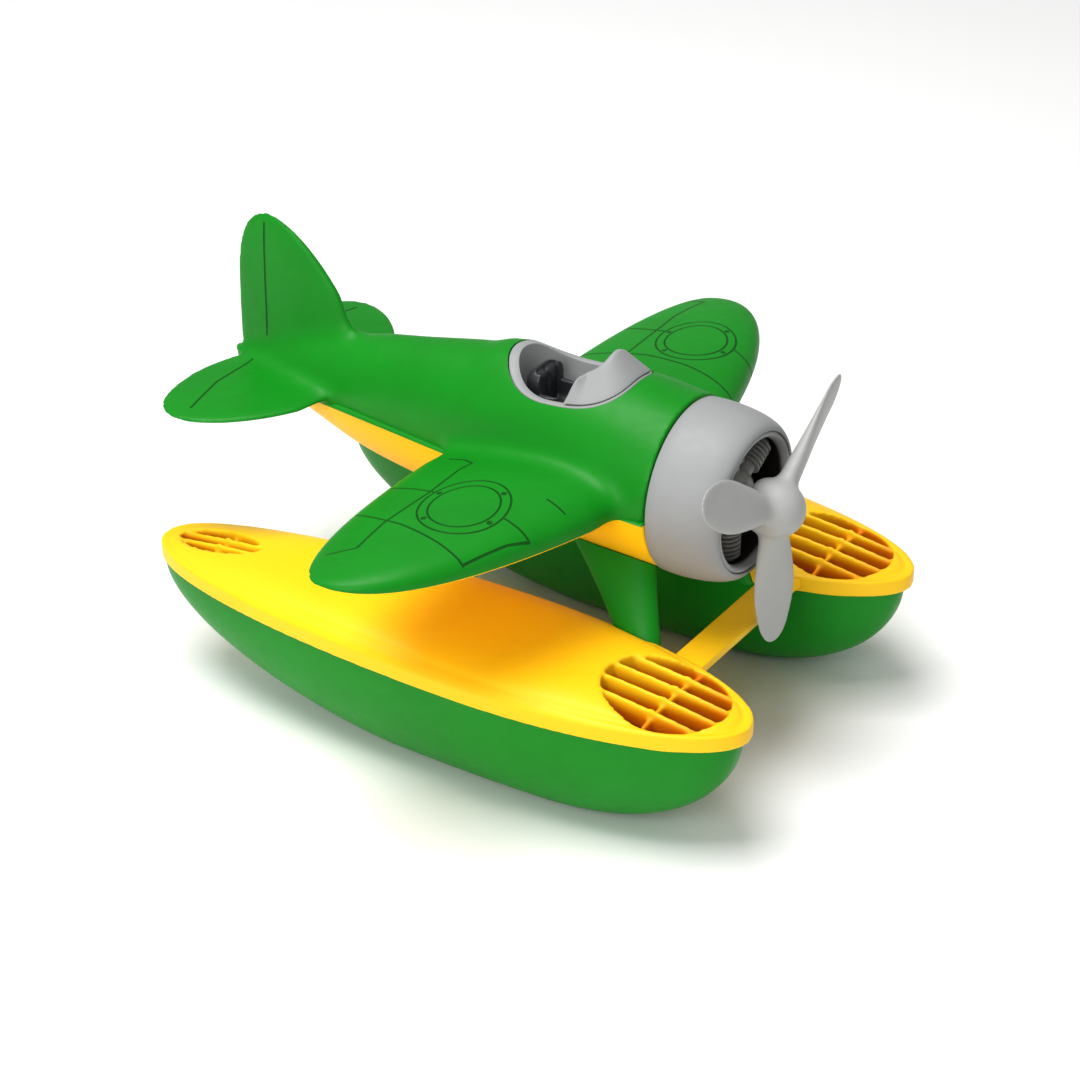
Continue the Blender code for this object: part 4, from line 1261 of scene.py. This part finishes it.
@dataclass
class Strut:
    """Green blade from the inner edge of a float up to the belly."""

    side: Side
    fuselage: Fuselage
    gap: float = 0.3 * MM
    rows: tuple[tuple[float, ...], ...] = (
        (58, 73.5, 30.5, 3.6, 39.8),
        (49, 68.5, 25, 4.0, 51.5),
        (28, 60, 13.5, 4.6, 67.5),
    )
    faces: tuple[int, int] = (56, 40)

    def form(self, grow: float, extra: float = 0.0) -> Form:
        """Closed blade, grown by a distance, its foot carried down by the extra."""

        def place(u: float, v: float) -> Vector:
            weights = ((1 - v) * (1 - 2 * v), 4 * v * (1 - v), v * (2 * v - 1))
            columns = zip(*self.rows)
            mixed = [sum(w * value for w, value in zip(weights, column)) * MM for column in columns]
            rear, front, offset, half, height = mixed
            middle, reach = halves(front, rear)
            along, across = math.cos(math.tau * u), math.sin(math.tau * u)
            x = middle + (reach + grow) * along
            y = self.side.value * offset + (half + grow) * across * (1.0 + 0.25 * along)
            return Vector((x, y, height - (extra if v == 0.0 else 0.0)))

        return wrapped(*self.faces, place)

    def build(self) -> None:
        """Builds and dresses the strut."""
        item = made("brace_" + self.side.suffix, self.form(0.0))
        cut(item, self.fuselage.form(self.gap), Cut.REMOVE)
        dress(item, GREEN, "strut_" + self.side.suffix)


@dataclass
class Crossbar:
    """Flat bar between the lids, its ends shaped to their rims."""

    name: str
    node: str
    rear: float
    front: float
    plan: FloatPlan
    top: float = 45.1 * MM
    thickness: float = 3 * MM
    gap: float = 0.3 * MM

    def build(self) -> None:
        """Builds and dresses the bar."""
        reach = self.plan.offset
        low, high = (self.rear, -reach, self.top - self.thickness), (self.front, reach, self.top)
        item = made(self.name, block(low, high, 0.6 * MM, 3))
        for side in Side:

            def outline(u: float, side: Side = side) -> tuple[float, float]:
                x, y = self.plan.point(u, -self.gap)
                return x, side.value * reach + y

            cut(item, upright(outline, 168, 30 * MM, 60 * MM), Cut.REMOVE)
        dress(item, YELLOW, self.node)


@dataclass
class Nose:
    """Cowl, radial engine and the pin of the propeller."""

    axis: float = 89.3 * MM
    rear: float = 65 * MM
    shoulder: float = 69 * MM
    front: float = 89 * MM
    belly: float = 29.2 * MM
    mouth: float = 21 * MM
    back: float = 29 * MM
    wall: float = 2.2 * MM
    lip: float = 2.6 * MM
    cylinders: int = 6
    first: float = 29.0
    cylinder_x: float = 78.5 * MM
    barrel: float = 3.6 * MM
    ring: float = 5.1 * MM
    rings: int = 6
    first_ring: float = 12.2 * MM
    engine_reach: float = 23.6 * MM
    case: float = 9.5 * MM
    case_front: float = 85 * MM
    pin: float = 2.5 * MM
    pin_end: float = 99 * MM

    def cowl(self) -> bpy.types.Object:
        """Barrel that narrows to a thick rounded lip."""
        lip = self.mouth + self.lip
        outside, inside = [], []
        for k in range(25):
            angle = 0.5 * math.pi * k / 24
            x = self.shoulder + (self.front - self.shoulder) * math.sin(angle)
            radius = lip + (self.belly - lip) * math.cos(angle) ** 0.9
            outside.append((x, radius))
            if radius - self.wall > lip:
                inside.insert(0, (x - 0.4 * self.wall, radius - self.wall))
        edge = []
        for k in range(1, 13):
            angle = math.pi * k / 12
            x = self.front - (1.5 * MM if k <= 6 else 3 * MM) * (1.0 - math.sin(angle))
            edge.append((x, self.mouth + 0.5 * self.lip * (1 + math.cos(angle))))
        back = [(self.rear, self.back - self.wall), (self.rear, self.back - 0.6 * MM)]
        back.append((self.rear + 0.5 * MM, self.back))
        return made("cowling", turned(back + outside + edge + inside, 144, self.axis))

    def shade_in_cowl(self, bench: Bench, point: Wire) -> Wire:
        """Painted shade: 1 on the inner wall of the cowl, which is darkened, 0 on its outside and lip."""
        x, y, z = bench.axes(point)
        lip = self.mouth + self.lip
        share = ((x - self.shoulder) / (self.front - self.shoulder)).most(0.0)
        bow = (1.0 - share * share).most(0.0).power(0.45)
        skin = bow * (self.belly - lip) + (lip - 0.5 * self.wall)
        up = z - self.axis
        radius = (y * y + up * up).root()
        inside = (radius - skin).fade(0.2 * MM, -0.2 * MM)
        return inside * x.fade(self.front - 1.4 * MM, self.front - 3.2 * MM)

    def barrel_profile(self) -> list[tuple[float, float]]:
        """Finned barrel as (height, radius) points."""
        start, end = 6 * MM, self.engine_reach
        points = [(start, 0.0), (start, self.barrel)]
        pitch = (end - 1.6 * MM - self.first_ring) / self.rings
        for k in range(self.rings):
            at, thick = self.first_ring + pitch * (k + 0.25), 0.45 * pitch
            soft, full = self.ring - 0.2 * MM, self.ring
            radii = (self.barrel, soft, full, full, soft, self.barrel)
            shares = (0, 0, 0.25, 0.75, 1, 1)
            points += [(at + share * thick, radius) for share, radius in zip(shares, radii)]
        return points + [(end - 0.8 * MM, self.barrel), (end, self.barrel - 1.2 * MM), (end, 0.0)]

    def engine(self) -> bpy.types.Object:
        """Crankcase with finned cylinders round it."""
        start = self.case_front - 6 * MM
        profile = [(self.rear, 0.0), (self.rear, self.case + 2 * MM)]
        profile += [(self.rear + 5 * MM, self.case + 1 * MM), (start, self.case)]
        for k in range(1, 9):
            angle = 0.5 * math.pi * k / 8
            radius = self.case - 4 * MM * (1 - math.cos(angle))
            profile.append((start + 6 * MM * math.sin(angle), radius))
        forms = [turned(profile + [(self.case_front, 0.0)], 64, self.axis)]
        for k in range(self.cylinders):
            form = turned(self.barrel_profile(), 40, 0.0)
            angle = math.radians(self.first - 90.0) + math.tau * k / self.cylinders
            turn = Matrix.Rotation(angle, 4, "X") @ Matrix.Rotation(-0.5 * math.pi, 4, "Y")
            place = Matrix.Translation((self.cylinder_x, 0, self.axis)) @ turn
            bmesh.ops.transform(form, matrix=place, verts=form.verts)
            forms.append(form)
        return made("engine", *forms)

    def build(self) -> None:
        """Builds and dresses the nose."""
        # The inner wall of the cowl is darkened with painted shade.
        dress(self.cowl(), GREY, "cowl", painted_shade=self.shade_in_cowl)
        dress(self.engine(), STEEL, "radial_engine")
        start, end, soft = self.case_front + 0.3 * MM, self.pin_end, 0.5 * MM
        outline = [(start, 0.0), (start, self.pin), (end - soft, self.pin), (end, self.pin - soft)]
        outline.append((end, 0.0))
        dress(made("propeller_pin", turned(outline, 40, self.axis)), GREY, "propeller_axle")


@dataclass
class Propeller:
    """Three broad blades run into a domed hub."""

    axis: float = 89.3 * MM
    blades: int = 3
    plane: float = 95.5 * MM
    reach: float = 51.4 * MM
    root: float = 4 * MM
    chord: float = 18 * MM
    thick: tuple[float, float] = (8.0 * MM, 2.4 * MM)
    pitch: tuple[float, float] = (30.0, 13.0)
    swell: tuple[float, float, float] = (0.6, 0.4, 0.7)
    first: float = 34.3
    hub: float = 9.5 * MM
    rear: float = 88 * MM
    front: float = 106 * MM
    bore: float = 2.8 * MM
    bore_depth: float = 12 * MM
    voxel: float = 0.5 * MM
    fillet: float = 10 * MM
    passes: int = 130
    faces: tuple[int, int] = (48, 60)

    def blade(self, number: int) -> Form:
        """One blade in its place."""
        turn = Matrix.Rotation(math.radians(self.first + 360.0 * number / self.blades), 4, "X")
        where = Matrix.Translation((self.plane, 0, self.axis)) @ turn

        def place(u: float, v: float) -> Vector:
            t = math.sin(0.5 * math.pi * v)
            root, gain, widest = self.swell
            swell = root + gain * math.sin(0.5 * math.pi * min(t / widest, 1.0)) ** 2
            chord = self.chord * swell * arc(t, 5.0, 2.0)
            thick = between(self.thick, min(t * 1.3, 1.0)) * arc(t, 9.0, 2.0)
            pitch = math.radians(between(self.pitch, min(t * 1.2, 1.0)))
            along = Vector((math.sin(pitch), 0, math.cos(pitch)))
            through = Vector((math.cos(pitch), 0, -math.sin(pitch)))
            angle = math.tau * u
            offset = along * (0.5 * chord * math.cos(angle)) + through * (0.5 * thick * math.sin(angle))
            return where @ (Vector((0, between((self.root, self.reach), t), 0)) + offset)

        return wrapped(*self.faces, place)

    def hub_form(self) -> Form:
        """Round hub with a domed nose."""
        profile = [(self.rear, 0.0), (self.rear, self.hub - 2.5 * MM)]
        profile.append((self.rear + 2 * MM, self.hub - 0.5 * MM))
        shoulder = self.plane + 1 * MM
        for k in range(17):
            angle = 0.5 * math.pi * k / 16
            x = shoulder + (self.front - shoulder) * math.sin(angle)
            profile.append((x, self.hub * math.cos(angle)))
        return turned(profile, 72, self.axis)

    def build(self) -> None:
        """Builds and dresses the propeller."""
        forms = [self.hub_form()] + [self.blade(k) for k in range(self.blades)]
        trees = [BVHTree.FromBMesh(form) for form in forms]
        item = fused("airscrew", forms, self.voxel, 3)
        soft_seams(item, trees, lambda point: self.fillet, self.passes)
        start, end = self.rear - 5 * MM, self.rear + self.bore_depth
        bore = [(start, 0.0), (start, self.bore), (end, self.bore), (end, 0.0)]
        cut(item, turned(bore, 48, self.axis), Cut.REMOVE)
        dress(item, SILVER, "propeller", Body.PROPELLER)


@dataclass
class Studio:
    """White floor, soft light and the camera."""

    azimuth: float = 33.13
    elevation: float = 29.73
    roll: float = -0.30
    distance: float = 950.1 * MM
    lens: float = 93.9
    target: tuple[float, float, float] = (7.27 * MM, 0.0, 50.66 * MM)

    def camera(self) -> None:
        """Camera at the height and side that the toy is seen from."""
        a, e, r = (math.radians(v) for v in (self.azimuth, self.elevation, self.roll))
        back = Vector((math.sin(a) * math.cos(e), -math.cos(a) * math.cos(e), math.sin(e)))
        right = Vector((math.cos(a), math.sin(a), 0.0))
        up = back.cross(right)
        across = right * math.cos(r) + up * math.sin(r)
        above = up * math.cos(r) - right * math.sin(r)
        data = bpy.data.cameras.new("camera")
        data.lens = self.lens
        data.sensor_width = 36.0
        data.sensor_fit = "HORIZONTAL"
        data.clip_start = 0.01
        turn = Matrix((across, above, back)).transposed()
        bpy.context.scene.camera = self.set_up(data, Vector(self.target) + back * self.distance, turn)

    def set_up(self, data: bpy.types.ID, spot: Vector, turn: Matrix) -> bpy.types.Object:
        """Object that holds a camera or lamp at a spot, turned."""
        item = bpy.data.objects.new(data.name, data)
        bpy.context.scene.collection.objects.link(item)
        item.matrix_world = Matrix.Translation(spot) @ turn.to_4x4()
        return item

    def floor(self) -> None:
        """Wide pale floor."""
        form = bmesh.new()
        bmesh.ops.create_grid(form, x_segments=8, y_segments=8, size=6.0)
        item = made("floor", form)
        material = bpy.data.materials.new("floor")
        bench = Bench(material)
        cloud = bench.noise(bench.place(), 3.0, 2.0)
        colour = bench.mix(cloud, (0.96, 0.96, 0.955), (0.945, 0.945, 0.94))
        bench.feed(bench.shader.inputs["Base Color"], colour)
        bench.feed(bench.shader.inputs["Roughness"], 0.7)
        item.data.materials.append(material)

    def lamp(self, name: str, spot: Sequence[float], size: float, power: float) -> None:
        """Square soft light that looks at the toy."""
        data = bpy.data.lights.new(name, "AREA")
        data.shape = "SQUARE"
        data.size = size
        data.energy = power
        towards = Vector(self.target) - Vector(spot)
        self.set_up(data, Vector(spot), towards.to_track_quat("-Z", "Y").to_matrix())

    def build(self) -> None:
        """Sets up the studio."""
        self.camera()
        self.floor()
        world = bpy.data.worlds.new("studio")
        bpy.context.scene.world = world
        world.use_nodes = True
        shade = world.node_tree.nodes["Background"]
        shade.inputs["Color"].default_value = (1.0, 1.0, 1.0, 1.0)
        shade.inputs["Strength"].default_value = 0.385
        self.lamp("overhead", (-0.25, -0.2, 1.35), 0.9, 19.5)
        self.lamp("near_side", (0.1, -1.5, 0.8), 1.0, 12.0)
        view = bpy.context.scene.view_settings
        view.view_transform = "Standard"
        view.gamma = 0.92


def main() -> None:
    """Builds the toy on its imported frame."""
    logging.basicConfig(level=logging.INFO, format="%(name)s: %(message)s")
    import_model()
    joint, fuselage, plan = Joint(), Fuselage(), FloatPlan()
    cockpit = Cockpit(fuselage)
    Airframe(joint, fuselage, Wing(joint), Tail(), cockpit).build()
    for side in Side:
        strut = Strut(side, fuselage)
        strut.build()
        Float(side).build(strut)
    Crossbar("bar_front", "crossbar_front", 78 * MM, 89.5 * MM, plan).build()
    Crossbar("bar_rear", "crossbar_rear", -37 * MM, -27 * MM, plan).build()
    Nose().build()
    Propeller().build()
    Studio().build()


if __name__ == "__main__":
    main()
